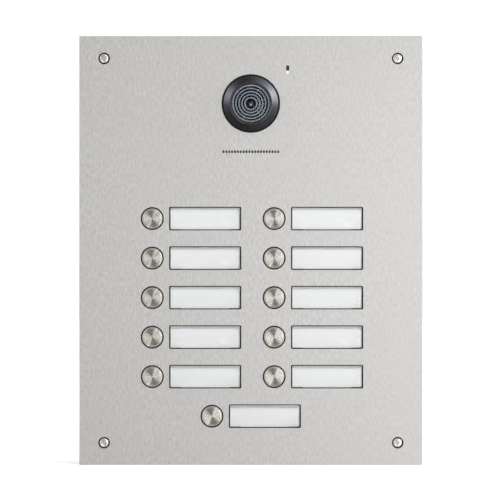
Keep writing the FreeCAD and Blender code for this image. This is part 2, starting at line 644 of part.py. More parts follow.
def make_flush_box():
    body = new_body("flush_box", ("0", "0", "0"))
    blank = new_sketch(body, "box_blank")
    rectangle(blank, "box_w", "box_h")
    pad(body, blank, "box_depth", reverse=False)
    tabs = new_sketch(body, "anchor_tabs", depth="-tab_y")
    for side, rise in SIGNS:
        rectangle(tabs, "2 * tab_reach", "tab_w", "%d * box_w / 2" % side, "%d * tab_z" % rise)
    pad(body, tabs, "box_wall", reverse=False)
    room = new_sketch(body, "box_room", depth="-(box_depth - box_wall)")
    rectangle(room, "box_w - 2 * box_wall", "box_h - 2 * box_wall")
    pocket(body, room, "box_depth - 2 * box_wall")

    mouth = new_sketch(body, "box_mouth", depth="-box_depth")
    wide_x, wide_z = "(box_w / 2 - box_flange)", "(box_h / 2 - box_flange)"
    near_x, near_z = "(box_w / 2 - box_corner)", "(box_h / 2 - box_corner)"
    points = []
    for number, (side, rise) in enumerate(SIGNS):
        steps = [(wide_x, near_z), (near_x, near_z), (near_x, wide_z)]
        for x, z in steps if number % 2 == 0 else reversed(steps):
            points.append(("%d * %s" % (side, x), "%d * %s" % (rise, z)))
    outline(mouth, points)
    pocket(body, mouth, "box_wall")

    inserts = new_sketch(body, "insert_holes", depth="-box_depth")
    fixings = new_sketch(body, "fixing_holes", depth="-box_wall")
    for side, rise in SIGNS:
        circle(inserts, "insert_r + thread_gap", "%d * screw_x" % side, "%d * screw_z" % rise)
        circle(fixings, "fixing_r", "%d * fixing_x" % side, "%d * fixing_z" % rise)
    pocket(body, inserts, "box_wall")
    pocket(body, fixings, "box_wall")

    back = new_sketch(body, "back_knockouts")
    top = new_sketch(body, "top_knockouts", depth="-box_h / 2", plane="XY_Plane")
    for side in (1, -1):
        for sketch, height in ((back, "knockout_z"), (top, "-box_depth / 2")):
            circle(sketch, "knockout_r", "%d * knockout_x" % side, height)
            circle(sketch, "knockout_r + knockout_groove", "%d * knockout_x" % side, height)
    pocket(body, back, "knockout_groove", reverse=True)
    pocket(body, top, "knockout_groove")
    entry = new_sketch(body, "cable_entry", depth="box_h / 2 - box_wall", plane="XY_Plane")
    circle(entry, "grommet_r", "0", "-box_depth / 2")
    pocket(body, entry, "box_wall")


def make_threaded_inserts():
    bore = "screw_r + thread_gap"
    end = "insert_flange_t + insert_length"
    points = [("0", bore), ("0", "insert_flange_r"), ("insert_flange_t", "insert_flange_r"),
              ("insert_flange_t", "insert_r"), (end, "insert_r"), (end, bore)]
    master = turned_body("threaded_insert", points, ("0", "0", "0"), kept=False)
    copies("threaded_inserts", master, screw_places("gasket_t + plate_t - insert_flange_t"))


def make_cable_grommet():
    body = new_body("cable_grommet", ("0", "-box_depth / 2", "-(box_h - box_wall) / 2"))
    sketch = new_sketch(body, "grommet_profile")
    hold, reach = "box_wall / 2", "(box_wall / 2 + grommet_lip_t)"
    lip = "grommet_r + grommet_lip"
    outline(sketch, [("grommet_bore_r", "-" + reach), (lip, "-" + reach), (lip, "-" + hold),
                     ("grommet_r", "-" + hold), ("grommet_r", hold), (lip, hold), (lip, reach),
                     ("grommet_bore_r", reach)])
    turn(body, sketch, "V_Axis")


# ---- studs and circuit boards ----------------------------------------------------------------------

def column_stud_offsets():
    """Stud positions of a column board, from its middle."""
    return [("%d * stud_dx" % side, "%g * row_pitch" % rows)
            for side in (1, -1) for rows in (1.5, -1.5)]


def bottom_stud_offsets():
    return [("%d * bottom_stud_dx" % side, "%d * bottom_stud_dz" % rise) for side, rise in SIGNS]


def speaker_stud_offsets():
    return [("%d * speaker_stud_x" % side, "%d * speaker_stud_z" % rise) for side, rise in SIGNS]


def main_studs():
    return [(x, z) for x in ("main_stud_x", "main_stud_far_x") for z in ("main_stud_z", "main_stud_top_z")]


def stud_places(depth):
    middles = [(column + " + board_shift", row_z(2), column_stud_offsets())
               for column in ("column_left_x", "column_right_x")]
    middles.append(("bottom_button_x + board_shift", row_z(COLUMN_ROWS), bottom_stud_offsets()))
    middles.append(("0", "speaker_z", speaker_stud_offsets()))
    middles.append(("0", "0", main_studs()))
    return [("%s + %s" % (x, dx), "%s + %s" % (FRONT, depth), "%s + %s" % (z, dz))
            for x, z, offsets in middles for dx, dz in offsets]


def make_studs_and_nuts():
    shoulder = "stack_y - plate_t"
    tip = shoulder + " + stud_thread_h"
    stud = turned_body("weld_stud", [("0", "0"), ("0", "stud_collar_r"), (shoulder, "stud_collar_r"),
                                     (shoulder, "stud_thread_r"), (tip, "stud_thread_r"), (tip, "0")],
                       ("0", "0", "0"), kept=False)
    copies("weld_studs", stud, stud_places("plate_t"))

    nut = new_body("stud_nut", ("0", "0", "0"), kept=False)
    sketch = new_sketch(nut, "nut_hexagon")
    outline(sketch, [("nut_flats / sqrt(3) * cos(%d)" % angle, "nut_flats / sqrt(3) * sin(%d)" % angle)
                     for angle in range(0, 360, 60)])
    circle(sketch, "stud_thread_r + thread_gap")
    pad(nut, sketch, "nut_t")
    copies("stud_nuts", nut, stud_places("stack_y + board_t"))


def make_board(label, where, height, holes, kept=True):
    body = new_body(label, where, kept)
    sketch = new_sketch(body, label + "_blank")
    rectangle(sketch, "board_w", height)
    for x, z in holes:
        circle(sketch, "stud_hole_r", x, z)
    pad(body, sketch, "board_t")
    return body


def make_call_boards():
    behind = FRONT + " + stack_y"
    master = make_board("call_board", ("0", "0", "0"), "board_h", column_stud_offsets(), kept=False)
    copies("call_boards", master, [(column + " + board_shift", behind, row_z(2))
                                   for column in ("column_left_x", "column_right_x")])
    make_board("bottom_call_board", ("bottom_button_x + board_shift", behind, row_z(COLUMN_ROWS)),
               "bottom_board_h", bottom_stud_offsets())


def make_main_board():
    """An L-shaped board that reaches behind the microphone slot."""
    body = new_body("main_board")
    sketch = new_sketch(body, "main_blank", depth="stack_y")
    outline(sketch, [("main_inner_x", "main_bottom_z"), ("main_right_x", "main_bottom_z"),
                     ("main_right_x", "main_top_z"), ("main_left_x", "main_top_z"),
                     ("main_left_x", "main_notch_z"), ("main_inner_x", "main_notch_z")])
    for x, z in main_studs():
        circle(sketch, "stud_hole_r", x, z)
    pad(body, sketch, "board_t")


def make_block(label, where, width, height, thickness):
    """A plain component whose front lower left corner is at a place."""
    block = document.addObject("Part::Box", label)
    place(block, "Placement", where)
    bind(block, "Length", width)
    bind(block, "Width", thickness)
    bind(block, "Height", height)
    return block


def make_board_components():
    """What is soldered on the back of the main board: processor, audio chips, relay and capacitors."""
    behind = FRONT + " + stack_y + board_t"
    parts = [make_block("processor", ("processor_x", behind, "processor_z"),
                        "processor_w", "processor_w", "processor_t"),
             make_block("audio_codec", ("codec_x", behind, "codec_z"),
                        "codec_w", "codec_h", "codec_t"),
             make_block("speaker_amplifier", ("amplifier_x", behind, "amplifier_z"),
                        "codec_w", "codec_h", "codec_t"),
             make_block("door_relay", ("relay_x", behind, "relay_z"),
                        "relay_w", "relay_h", "relay_t")]
    for number in range(2):
        capacitor = document.addObject("Part::Cylinder", "capacitor_%d" % (number + 1))
        capacitor.Placement.Rotation = FreeCAD.Rotation(FreeCAD.Vector(1, 0, 0), -90)
        place(capacitor, "Placement", ("capacitor_x + %d * capacitor_pitch" % number, behind,
                                       "capacitor_z"))
        bind(capacitor, "Radius", "capacitor_r")
        bind(capacitor, "Height", "capacitor_t")
        parts.append(capacitor)
    group("board_components", parts)


def make_terminal_block():
    """A row of screw terminals: wire openings below, screw wells behind."""
    body = new_body("terminal_block", ("terminal_x", FRONT + " + stack_y + board_t", "terminal_z"))
    blank = new_sketch(body, "terminal_blank")
    width = "terminal_pitch * terminal_count"
    rectangle(blank, width, "terminal_h", "(%s) / 2" % width, "terminal_h / 2")
    pad(body, blank, "terminal_t")
    wells = new_sketch(body, "screw_well", depth="terminal_t")
    circle(wells, "terminal_screw_r", "terminal_pitch / 2", "terminal_h / 2")
    well = pocket(body, wells, "terminal_well", reverse=True)
    repeat_along_x(body, well, "terminal_pitch", "terminal_count")
    mouths = new_sketch(body, "wire_mouth", plane="XY_Plane")
    rectangle(mouths, "terminal_mouth", "terminal_mouth", "terminal_pitch / 2", "terminal_mouth")
    mouth = pocket(body, mouths, "terminal_well / 2", reverse=True)
    repeat_along_x(body, mouth, "terminal_pitch", "terminal_count")


def make_ribbon(name, plane, where, width, near, far, arch):
    """A flat cable arched between two boards.  Near and far are pairs of position and depth."""
    body = new_body(name, where, kept=False)
    sketch = new_sketch(body, name + "_profile", depth="(%s) / 2" % width, plane=plane)
    inside = "%s - ribbon_t" % arch
    points = [near, (near[0], arch), (far[0], arch), far, (far[0] + " - ribbon_t", far[1]),
              (far[0] + " - ribbon_t", inside), (near[0] + " + ribbon_t", inside),
              (near[0] + " + ribbon_t", near[1])]
    if plane == "YZ_Plane":
        points = [(depth, position) for position, depth in points]
    outline(sketch, points)
    pad(body, sketch, width, reverse=False)
    return body


def make_ribbon_cables():
    board = "stack_y + board_t"
    arch = board + " + ribbon_rise"
    middle_x = "(column_right_x + window_shift)"
    main_to_call = make_ribbon("ribbon_main", "YZ_Plane", (middle_x, FRONT, "0"), "ribbon_w",
                               ("ribbon_call_z", board), ("ribbon_main_z", board), arch)
    call_to_call = make_ribbon("ribbon_call", "XY_Plane", ("0", FRONT, row_z(2)), "ribbon_w",
                               ("ribbon_near_x", board), ("ribbon_far_x", board), arch)
    call_to_bottom = make_ribbon("ribbon_bottom", "YZ_Plane", ("ribbon_bottom_x", FRONT, row_z(4)),
                                 "ribbon_w", ("ribbon_low_dz", board), ("ribbon_high_dz", board), arch)
    camera = make_ribbon("ribbon_camera", "XY_Plane", ("0", FRONT, "camera_z"), "ribbon_w",
                         ("housing_slot_x", "camera_board_y + board_t"), ("ribbon_foot_x", board),
                         "housing_end_y + ribbon_camera_rise")
    speaker = make_ribbon("ribbon_speaker", "XY_Plane", ("0", FRONT, "speaker_z"), "ribbon_w / 3",
                          ("speaker_stud_x - 1", board), ("ribbon_foot_x", board), arch)
    group("ribbon_cables", [main_to_call, call_to_call, call_to_bottom, camera, speaker])


# ---- call stations ---------------------------------------------------------------------------------

def make_button_cap(number, where):
    """A turned cap: a flat face, a bevel, a retaining flange, and a boss over the switch."""
    back = "cap_flange_y + cap_flange_t"
    boss = back + " + cap_boss_h"
    points = [("-cap_proud", "0"), ("-cap_proud", "cap_face_r"), ("cap_bevel - cap_proud", "cap_r"),
              ("cap_flange_y", "cap_r"), ("cap_flange_y", "cap_flange_r"), (back, "cap_flange_r"),
              (back, "cap_bore_r"), ("cap_face_t", "cap_bore_r"), ("cap_face_t", "cap_boss_r"),
              (boss, "cap_boss_r"), (boss, "0")]
    turned_body("button_cap_%02d" % number, points, where)


def make_button_sleeves():
    """The sleeve lines the hole, guides the cap and stops its flange."""
    points = [("sleeve_front_y", "sleeve_bore_r"), ("sleeve_front_y", "sleeve_r"), ("plate_t", "sleeve_r"),
              ("plate_t", "sleeve_body_r"), ("stack_y", "sleeve_body_r"), ("stack_y", "sleeve_wide_r"),
              ("sleeve_stop_y", "sleeve_wide_r"), ("sleeve_stop_y", "sleeve_bore_r")]
    master = turned_body("button_sleeve", points, ("0", "0", "0"), kept=False)
    copies("button_sleeves", master, station_places())


def make_button_springs():
    """Open coils between the flange of a cap and its board."""
    master = new_body("button_spring", ("0", "0", "0"), kept=False)
    sketch = new_sketch(master, "spring_wire", plane="YZ_Plane")
    start = "cap_flange_y + cap_flange_t + spring_gap + spring_wire_r"
    circle(sketch, "spring_wire_r", start, "spring_mean_r")
    coil = master.newObject("PartDesign::AdditiveHelix", "spring_coil")
    coil.Profile = sketch
    coil.ReferenceAxis = (sketch, ["H_Axis"])
    coil.Mode = "height-turns-angle"
    bind(coil, "Height", "stack_y - cap_flange_y - cap_flange_t - 2 * spring_gap - 2 * spring_wire_r")
    bind(coil, "Turns", "spring_turns")
    copies("button_springs", master, station_places())


def make_button_switches():
    master = new_body("button_switch", ("0", "0", "0"), kept=False)
    base = new_sketch(master, "switch_body", depth="switch_body_y")
    rectangle(base, "switch_w", "switch_w")
    pad(master, base, "stack_y - switch_body_y")
    tip = new_sketch(master, "switch_tip", depth="switch_tip_y")
    circle(tip, "switch_tip_r")
    pad(master, tip, "switch_body_y - switch_tip_y")
    copies("button_switches", master, station_places())


def make_name_cover(number, where):
    """A clear cover with a bevelled border, two legs that clip into the tray, and two notches."""
    body = new_body("name_cover_%02d" % number, where)
    plain = new_sketch(body, "cover_back", depth="cover_front_y + cover_bevel")
    rectangle(plain, "cover_w", "cover_h")
    pad(body, plain, "cover_t - cover_bevel")
    rim = new_sketch(body, "cover_rim", depth="cover_front_y + cover_bevel")
    rectangle(rim, "cover_w", "cover_h")
    face = new_sketch(body, "cover_face", depth="cover_front_y")
    rectangle(face, "cover_w - 2 * cover_border", "cover_h - 2 * cover_border")
    bevel = body.newObject("PartDesign::AdditiveLoft", "cover_bevel")
    bevel.Profile = rim
    bevel.Sections = [face]
    bevel.Ruled = True
    legs = new_sketch(body, "cover_legs", depth="cover_front_y + cover_t")
    notches = new_sketch(body, "cover_notches", depth="cover_front_y")
    for side in (1, -1):
        rectangle(legs, "cover_leg_w", "cover_leg_h", "%d * (cover_w - cover_leg_w) / 2" % side)
        rectangle(notches, "notch_w", "2 * notch_h",
                  "%d * (cover_w / 2 - notch_end - notch_w / 2)" % side, "-cover_h / 2")
    pad(body, legs, "cover_leg_y")
    pocket(body, notches, "cover_t")


def make_name_trays():
    """A tray holds the label on a ledge over a light shaft, and takes the legs of the cover."""
    master = new_body("name_tray", ("0", "0", "0"), kept=False)
    blank = new_sketch(master, "tray_blank", depth="plate_t")
    rectangle(blank, "tray_w", "tray_h")
    rectangle(blank, "tray_light_w", "tray_light_h")
    pad(master, blank, "stack_y - plate_t")
    mouth = new_sketch(master, "tray_mouth", depth="plate_t")
    rectangle(mouth, "tray_mouth_w", "tray_mouth_h")
    pocket(master, mouth, "tray_ledge_y - plate_t")
    slots = new_sketch(master, "tray_slots", depth="tray_ledge_y")
    for side in (1, -1):
        rectangle(slots, "tray_slot_w", "tray_slot_h", "%d * (tray_slot_x + tray_slot_w / 2)" % side)
    pocket(master, slots, "stack_y - tray_ledge_y")
    copies("name_trays", master, station_places(shift="window_shift"))


def make_name_labels():
    """A card that just fits between the legs of the cover."""
    master = new_body("name_label", ("0", "0", "0"), kept=False)
    card = new_sketch(master, "label_card", depth="tray_ledge_y - label_t")
    rectangle(card, "label_w", "label_h")
    pad(master, card, "label_t")
    copies("name_labels", master, station_places(shift="window_shift"))


def make_label_lights():
    """Two lights behind every label, and one behind the light pipe."""
    lights = new_body("label_light", ("0", "0", "0"), kept=False)
    sketch = new_sketch(lights, "light_chip", depth="stack_y - led_t")
    rectangle(sketch, "led_w", "led_h")
    pad(lights, sketch, "led_t")
    places = []
    for side in (1, -1):
        places += station_places(shift="window_shift + %d * led_x" % side)
    places.append(("talk_x", FRONT, "pipe_foot_z + pipe_foot_h / 2"))
    copies("label_leds", lights, places)


# ---- camera ----------------------------------------------------------------------------------------

CAMERA = ("0", FRONT, "camera_z")


def make_camera_bezel():
    """A cone on a threaded neck that passes through the plate."""
    turned_body("camera_bezel", [
        ("-seal_t", "bezel_neck_r"), ("bezel_neck_y", "bezel_neck_r"), ("bezel_neck_y", "bezel_bore_r"),
        ("-(bezel_h - bezel_lip_t)", "bezel_bore_r"), ("-(bezel_h - bezel_lip_t)", "bezel_lip_r"),
        ("-bezel_h", "bezel_lip_r"), ("-bezel_h", "bezel_top_r"), ("-(seal_t + bezel_foot)", "bezel_r"),
        ("-seal_t", "bezel_r")], CAMERA)


def make_camera_seal():
    turned_body("camera_seal", [("-seal_t", "seal_bore_r"), ("-seal_t", "seal_r - seal_t / 2"),
                                ("-seal_t / 2", "seal_r"), ("0", "seal_r"), ("0", "seal_bore_r")], CAMERA)


def make_camera_ring_nut():
    body = new_body("camera_ring_nut", CAMERA)
    ring = new_sketch(body, "nut_ring", depth="plate_t")
    circle(ring, "ring_nut_r")
    circle(ring, "ring_nut_bore_r")
    pad(body, ring, "ring_nut_t")
    slot = new_sketch(body, "spanner_slot", depth="plate_t + ring_nut_t / 2")
    rectangle(slot, "ring_nut_slot", "ring_nut_slot", "0", "ring_nut_r")
    repeat_round(body, pocket(body, slot, "ring_nut_t / 2"), 4)


def make_camera_window():
    """A clear dome of even thickness on a flat rim, held behind the lip of the bezel."""
    seat = "-(bezel_h - bezel_lip_t)"
    back = seat + " + dome_rim_t"
    turned_body("camera_window", [
        (seat + " - dome_h", "0"), (seat, "dome_r"), (seat, "dome_rim_r"), (back, "dome_rim_r"),
        (back, "dome_r - dome_t"), (seat + " - dome_h + dome_t", "0")], CAMERA, arcs=(0, 4))


def make_camera_baffle():
    """A funnel of flat treads and sloping risers round the lens."""
    front = "-baffle_front"
    points = [(front, "baffle_r"), (front, "baffle_rim_r")]
    for step in range(1, 5):
        depth = "%s + %d * baffle_rise" % (front, step)
        for edge in (2 * step - 1, 2 * step):
            points.append((depth, "baffle_rim_r - %d * baffle_step" % edge))
    points += [("baffle_end_y", "baffle_rim_r - 8 * baffle_step"), ("baffle_end_y", "baffle_r")]
    turned_body("camera_baffle", points, CAMERA)


def make_camera_optics():
    """The lens in its threaded barrel, and the sensor on its board."""
    turned_body("lens_barrel", [
        ("barrel_nose_y", "barrel_mouth_r"), ("barrel_nose_y", "barrel_nose_r"),
        ("barrel_step_y", "barrel_nose_r"), ("barrel_step_y", "barrel_r"), ("barrel_end_y", "barrel_r"),
        ("barrel_end_y", "barrel_bore_r"), ("barrel_bore_y", "barrel_bore_r"),
        ("barrel_bore_y", "barrel_lip_r"), ("barrel_lip_y", "barrel_lip_r")], CAMERA)
    turned_body("camera_lens", [
        ("lens_edge_y - lens_crown", "0"), ("lens_edge_y", "lens_r"), ("lens_end_y", "lens_r"),
        ("lens_end_y", "0")], CAMERA, arcs=(0,))
    body = new_body("image_sensor", CAMERA)
    sketch = new_sketch(body, "sensor_chip", depth="camera_board_y - sensor_t")
    rectangle(sketch, "sensor_w", "sensor_w")
    pad(body, sketch, "sensor_t")
    body = new_body("camera_board", CAMERA)
    sketch = new_sketch(body, "camera_disc", depth="camera_board_y")
    circle(sketch, "camera_board_r")
    pad(body, sketch, "board_t")


def make_camera_housing():
    """A can behind the bezel: a front web that holds the barrel, a wall and a back with a slot."""
    web = "bezel_neck_y + housing_wall"
    inside = "housing_r - housing_wall"
    back = "housing_end_y - housing_wall"
    body = new_body("camera_housing", CAMERA)
    solid = new_sketch(body, "housing_can", depth="bezel_neck_y")
    circle(solid, "housing_r")
    pad(body, solid, "housing_end_y - bezel_neck_y")
    room = new_sketch(body, "housing_room", plane="YZ_Plane")
    outline(room, [("bezel_neck_y", "0"), ("bezel_neck_y", "housing_thread_r"),
                   (web, "housing_thread_r"), (web, inside), (back, inside), (back, "0")])
    hollow = body.newObject("PartDesign::Groove", "housing_hollow")
    hollow.Profile = room
    hollow.ReferenceAxis = (room, ["H_Axis"])
    hollow.Angle = 360
    slot = new_sketch(body, "housing_slot", depth=back)
    rectangle(slot, "housing_slot_h", "housing_slot_w", "housing_slot_x")
    pocket(body, slot, "housing_wall")


# ---- sound -----------------------------------------------------------------------------------------

SPEAKER = ("0", FRONT, "speaker_z")


def make_speaker():
    gasket = new_body("speaker_gasket", SPEAKER)
    collar = new_sketch(gasket, "collar_frame", depth="plate_t")
    rectangle(collar, "collar_w", "collar_h")
    rectangle(collar, "collar_w - 2 * collar_band", "collar_h - 2 * collar_band")
    pad(gasket, collar, "stack_y - plate_t")

    frame = new_body("speaker_frame", SPEAKER)
    flange = new_sketch(frame, "speaker_flange", depth="stack_y")
    rectangle(flange, "speaker_w", "speaker_h")
    circle(flange, "speaker_mouth_r")
    for x, z in speaker_stud_offsets():
        circle(flange, "stud_hole_r", x, z)
    pad(frame, flange, "board_t")
    basket = new_sketch(frame, "speaker_basket", plane="YZ_Plane")
    rear = "speaker_basket_y"
    rear_out = rear + " + speaker_wall"
    front = "stack_y + board_t"
    outline(basket, [(front, "speaker_mouth_r"), (front, "speaker_mouth_r + speaker_wall"),
                     (rear_out, "speaker_basket_r"), (rear_out, "cone_neck_r + speaker_wall"),
                     (rear, "cone_neck_r + speaker_wall"), (rear, "speaker_basket_r - speaker_wall")])
    turn(frame, basket)

    turned_body("speaker_cone", [
        ("cone_y", "cone_r"), ("cone_y + cone_t", "cone_r"), ("cone_neck_y", "cone_neck_r"),
        ("cone_neck_y", "0"), ("cone_neck_y - cone_t", "0"), ("cone_neck_y - cone_t", "cone_neck_r")],
        SPEAKER)
    turned_body("speaker_magnet", [
        (rear_out, "0"), (rear_out, "magnet_r"), (rear_out + " + magnet_t", "magnet_r"),
        (rear_out + " + magnet_t", "0")], SPEAKER)


def make_microphone():
    boot = new_body("microphone_boot", ("talk_x", FRONT, "0"))
    block = new_sketch(boot, "boot_block", depth="plate_t")
    rectangle(block, "boot_w", "boot_h", "0", "boot_z")
    pad(boot, block, "stack_y - plate_t")
    duct = new_sketch(boot, "boot_duct", depth="plate_t")
    rectangle(duct, "boot_duct_w", "boot_duct_h", "0", "boot_duct_z")
    pocket(boot, duct, "capsule_y - plate_t")
    nest = new_sketch(boot, "boot_nest", depth="capsule_y")
    circle(nest, "capsule_r", "0", "capsule_z")
    pocket(boot, nest, "stack_y - capsule_y")

    capsule = new_body("microphone_capsule", ("talk_x", FRONT, "0"))
    disc = new_sketch(capsule, "capsule_disc", depth="capsule_y")
    circle(disc, "capsule_r", "0", "capsule_z")
    pad(capsule, disc, "capsule_t")


def make_light_pipe():
    """A light guide whose round end fills the bottom of the microphone slot."""
    body = new_body("light_pipe", ("talk_x", FRONT, "0"))
    end_z = "talk_z - talk_h / 2 + (talk_w - pipe_w) / 2"
    tip = new_sketch(body, "pipe_tip", depth="pipe_front_y")
    upright_slot(tip, "pipe_w", "pipe_h", "0", end_z + " + pipe_h / 2")
    pad(body, tip, "plate_t - pipe_front_y")
    foot = new_sketch(body, "pipe_foot", depth="plate_t")
    rectangle(foot, "pipe_foot_w", "pipe_foot_h", "0", "pipe_foot_z + pipe_foot_h / 2")
    pad(body, foot, "stack_y - led_t - plate_t")


# ---- checks and files ------------------------------------------------------------------------------

def check_features(body):
    """Every feature that adds or cuts must change the volume, and in the right direction."""
    volume = 0
    for feature in body.Group:
        if feature.TypeId == "Sketcher::SketchObject":
            continue
        change = feature.Shape.Volume - volume
        cuts = feature.TypeId in ("PartDesign::Pocket", "PartDesign::Groove", "PartDesign::Chamfer")
        patterns = feature.TypeId in ("PartDesign::PolarPattern", "PartDesign::LinearPattern")
        if change == 0 or (not patterns and (change < 0) != cuts):
            raise RuntimeError("%s in %s changes the volume by %g" % (feature.Name, body.Label, change))
        volume = feature.Shape.Volume


def check_document():
    for thing in document.Objects:
        if "Invalid" in thing.State or "Error" in thing.State:
            raise RuntimeError("%s failed: %s" % (thing.Name, thing.State))
        if thing.TypeId == "PartDesign::Body":
            check_features(thing)
    for part in subparts:
        if part.Shape.isNull() or not part.Shape.isValid():
            raise RuntimeError("%s has no valid shape" % part.Label)


def write_parts():
    os.makedirs("parts", exist_ok=True)
    for part in subparts:
        part.Shape.exportStep("parts/%s.step" % part.Label)


fill_sheet()
make_front_plate()
make_cover_screws()
make_screw_washers()
make_plate_gasket()
make_flush_box()
make_threaded_inserts()
make_cable_grommet()
make_studs_and_nuts()
make_call_boards()
make_main_board()
make_board_components()
make_terminal_block()
make_ribbon_cables()
for station, where in enumerate(station_places(), start=1):
    make_button_cap(station, where)
make_button_sleeves()
make_button_springs()
make_button_switches()
for station, where in enumerate(station_places(shift="window_shift"), start=1):
    make_name_cover(station, where)
make_name_trays()
make_name_labels()
make_label_lights()
make_camera_bezel()
make_camera_seal()
make_camera_ring_nut()
make_camera_window()
make_camera_baffle()
make_camera_optics()
make_camera_housing()
make_speaker()
make_microphone()
make_light_pipe()
document.recompute()
check_document()
write_parts()
print("%d sub-parts" % len(subparts))
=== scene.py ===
"""Looks of the door intercom panel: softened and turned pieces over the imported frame, procedural
materials for every node, and the studio that the panel is shown in."""

import json
import math

import bmesh
import bpy
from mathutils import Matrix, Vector


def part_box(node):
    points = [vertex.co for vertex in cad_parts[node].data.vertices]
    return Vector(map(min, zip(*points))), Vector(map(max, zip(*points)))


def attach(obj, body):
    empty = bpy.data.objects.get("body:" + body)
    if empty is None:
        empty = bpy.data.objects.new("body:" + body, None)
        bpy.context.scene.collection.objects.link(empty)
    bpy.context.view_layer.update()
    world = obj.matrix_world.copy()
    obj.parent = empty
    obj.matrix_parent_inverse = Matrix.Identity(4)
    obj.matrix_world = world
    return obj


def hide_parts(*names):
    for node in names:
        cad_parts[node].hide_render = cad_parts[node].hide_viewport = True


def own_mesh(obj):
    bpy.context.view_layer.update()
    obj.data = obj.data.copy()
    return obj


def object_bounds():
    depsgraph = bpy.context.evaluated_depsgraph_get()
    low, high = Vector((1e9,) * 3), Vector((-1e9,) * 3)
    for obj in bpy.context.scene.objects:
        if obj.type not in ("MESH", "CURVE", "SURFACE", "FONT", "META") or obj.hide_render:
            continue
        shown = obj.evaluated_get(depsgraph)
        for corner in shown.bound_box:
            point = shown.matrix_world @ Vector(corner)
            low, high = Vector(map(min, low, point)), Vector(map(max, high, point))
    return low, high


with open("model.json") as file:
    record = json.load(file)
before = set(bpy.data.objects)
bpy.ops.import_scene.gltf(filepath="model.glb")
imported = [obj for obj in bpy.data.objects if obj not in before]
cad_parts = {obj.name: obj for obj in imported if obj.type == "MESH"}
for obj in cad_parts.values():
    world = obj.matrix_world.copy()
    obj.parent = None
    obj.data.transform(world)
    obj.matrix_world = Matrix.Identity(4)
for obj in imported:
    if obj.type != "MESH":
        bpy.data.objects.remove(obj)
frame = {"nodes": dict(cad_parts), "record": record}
cad_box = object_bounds()

MM = 0.001
COUNT = 11
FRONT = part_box("front_plate")[0].y
PLATE_MIDDLE = (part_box("front_plate")[0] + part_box("front_plate")[1]) / 2
TREAD_RADIUS = 4.9
TREAD_PITCH = 2.4


# ---- nodes ---------------------------------------------------------------------------------------

def add(tree, kind, inputs=None, **settings):
    """A node with its settings and inputs.  An input is a value or another node's output."""
    made = tree.nodes.new(kind)
    for name, value in settings.items():
        setattr(made, name, value)
    for key, value in (inputs or {}).items():
        if isinstance(value, bpy.types.NodeSocket):
            tree.links.new(value, made.inputs[key])
        else:
            made.inputs[key].default_value = value
    return made


def math_node(tree, operation, first, second=0.0):
    made = add(tree, "ShaderNodeMath", {0: first, 1: second}, operation=operation)
    return made.outputs[0]


def remap(tree, value, low, high, start=0.0, end=1.0):
    """A value that runs from start to end is spread from low to high."""
    made = add(tree, "ShaderNodeMapRange",
               {"Value": value, "From Min": start, "From Max": end, "To Min": low, "To Max": high})
    return made.outputs["Result"]


def blend(tree, share, first, second):
    """A colour between two others."""
    made = add(tree, "ShaderNodeMix", data_type="RGBA")
    tree.links.new(share, made.inputs[0])
    for index, colour in ((6, first), (7, second)):
        if isinstance(colour, bpy.types.NodeSocket):
            tree.links.new(colour, made.inputs[index])
        else:
            made.inputs[index].default_value = (*colour, 1)
    return made.outputs[2]


def grain(tree, sizes, detail=2.0, roughness=0.5, where=None):
    """Noise whose features have the given sizes along X, Y and Z, in metres."""
    if where is None:
        where = add(tree, "ShaderNodeTexCoord").outputs["Object"]
    sized = add(tree, "ShaderNodeMapping",
                {"Vector": where, "Scale": [1 / size for size in sizes]})
    noise = add(tree, "ShaderNodeTexNoise", {"Vector": sized.outputs[0], "Scale": 1.0,
                                             "Detail": detail, "Roughness": roughness})
    return noise.outputs["Fac"]


def axis_distance(tree):
    """The distance from the piece's own Y axis."""
    where = add(tree, "ShaderNodeTexCoord").outputs["Object"]
    parts = add(tree, "ShaderNodeSeparateXYZ", {0: where})
    return math_node(tree, "SQRT", math_node(
        tree, "ADD", math_node(tree, "POWER", parts.outputs["X"], 2.0),
        math_node(tree, "POWER", parts.outputs["Z"], 2.0)))


def rings(tree, pitch, detail=3.0):
    """Noise that depends only on the distance from the piece's own Y axis."""
    noise = add(tree, "ShaderNodeTexNoise",
                {"W": axis_distance(tree), "Scale": 1 / pitch, "Detail": detail, "Roughness": 0.6},
                noise_dimensions="1D")
    return noise.outputs["Fac"]


def bump(tree, height, depth, strength=1.0):
    made = add(tree, "ShaderNodeBump", {"Height": height, "Distance": depth, "Strength": strength})
    return made.outputs["Normal"]


def new_material(name, **sockets):
    """A Principled material with constants on the shader's own sockets."""
    made = bpy.data.materials.new(name)
    made.use_nodes = True
    shader = made.node_tree.nodes["Principled BSDF"]
    for key, value in sockets.items():
        shader.inputs[key.replace("_", " ")].default_value = value
    return made, made.node_tree, shader


def link(tree, shader, **outputs):
    for key, output in outputs.items():
        tree.links.new(output, shader.inputs[key.replace("_", " ")])


def let_lamps_through(material, tree, shader, tint=(1, 1, 1)):
    """Clear plastic casts no dark shadow: shadow rays pass straight through it."""
    path = add(tree, "ShaderNodeLightPath")
    clear = add(tree, "ShaderNodeBsdfTransparent", {"Color": (*tint, 1)})
    mixed = add(tree, "ShaderNodeMixShader", {0: path.outputs["Is Shadow Ray"]})
    tree.links.new(shader.outputs[0], mixed.inputs[1])
    tree.links.new(clear.outputs[0], mixed.inputs[2])
    tree.links.new(mixed.outputs[0], tree.nodes["Material Output"].inputs["Surface"])
    return material


# ---- materials -----------------------------------------------------------------------------------

def scaled(colour, factor):
    return tuple(min(1.0, channel * factor) for channel in colour)


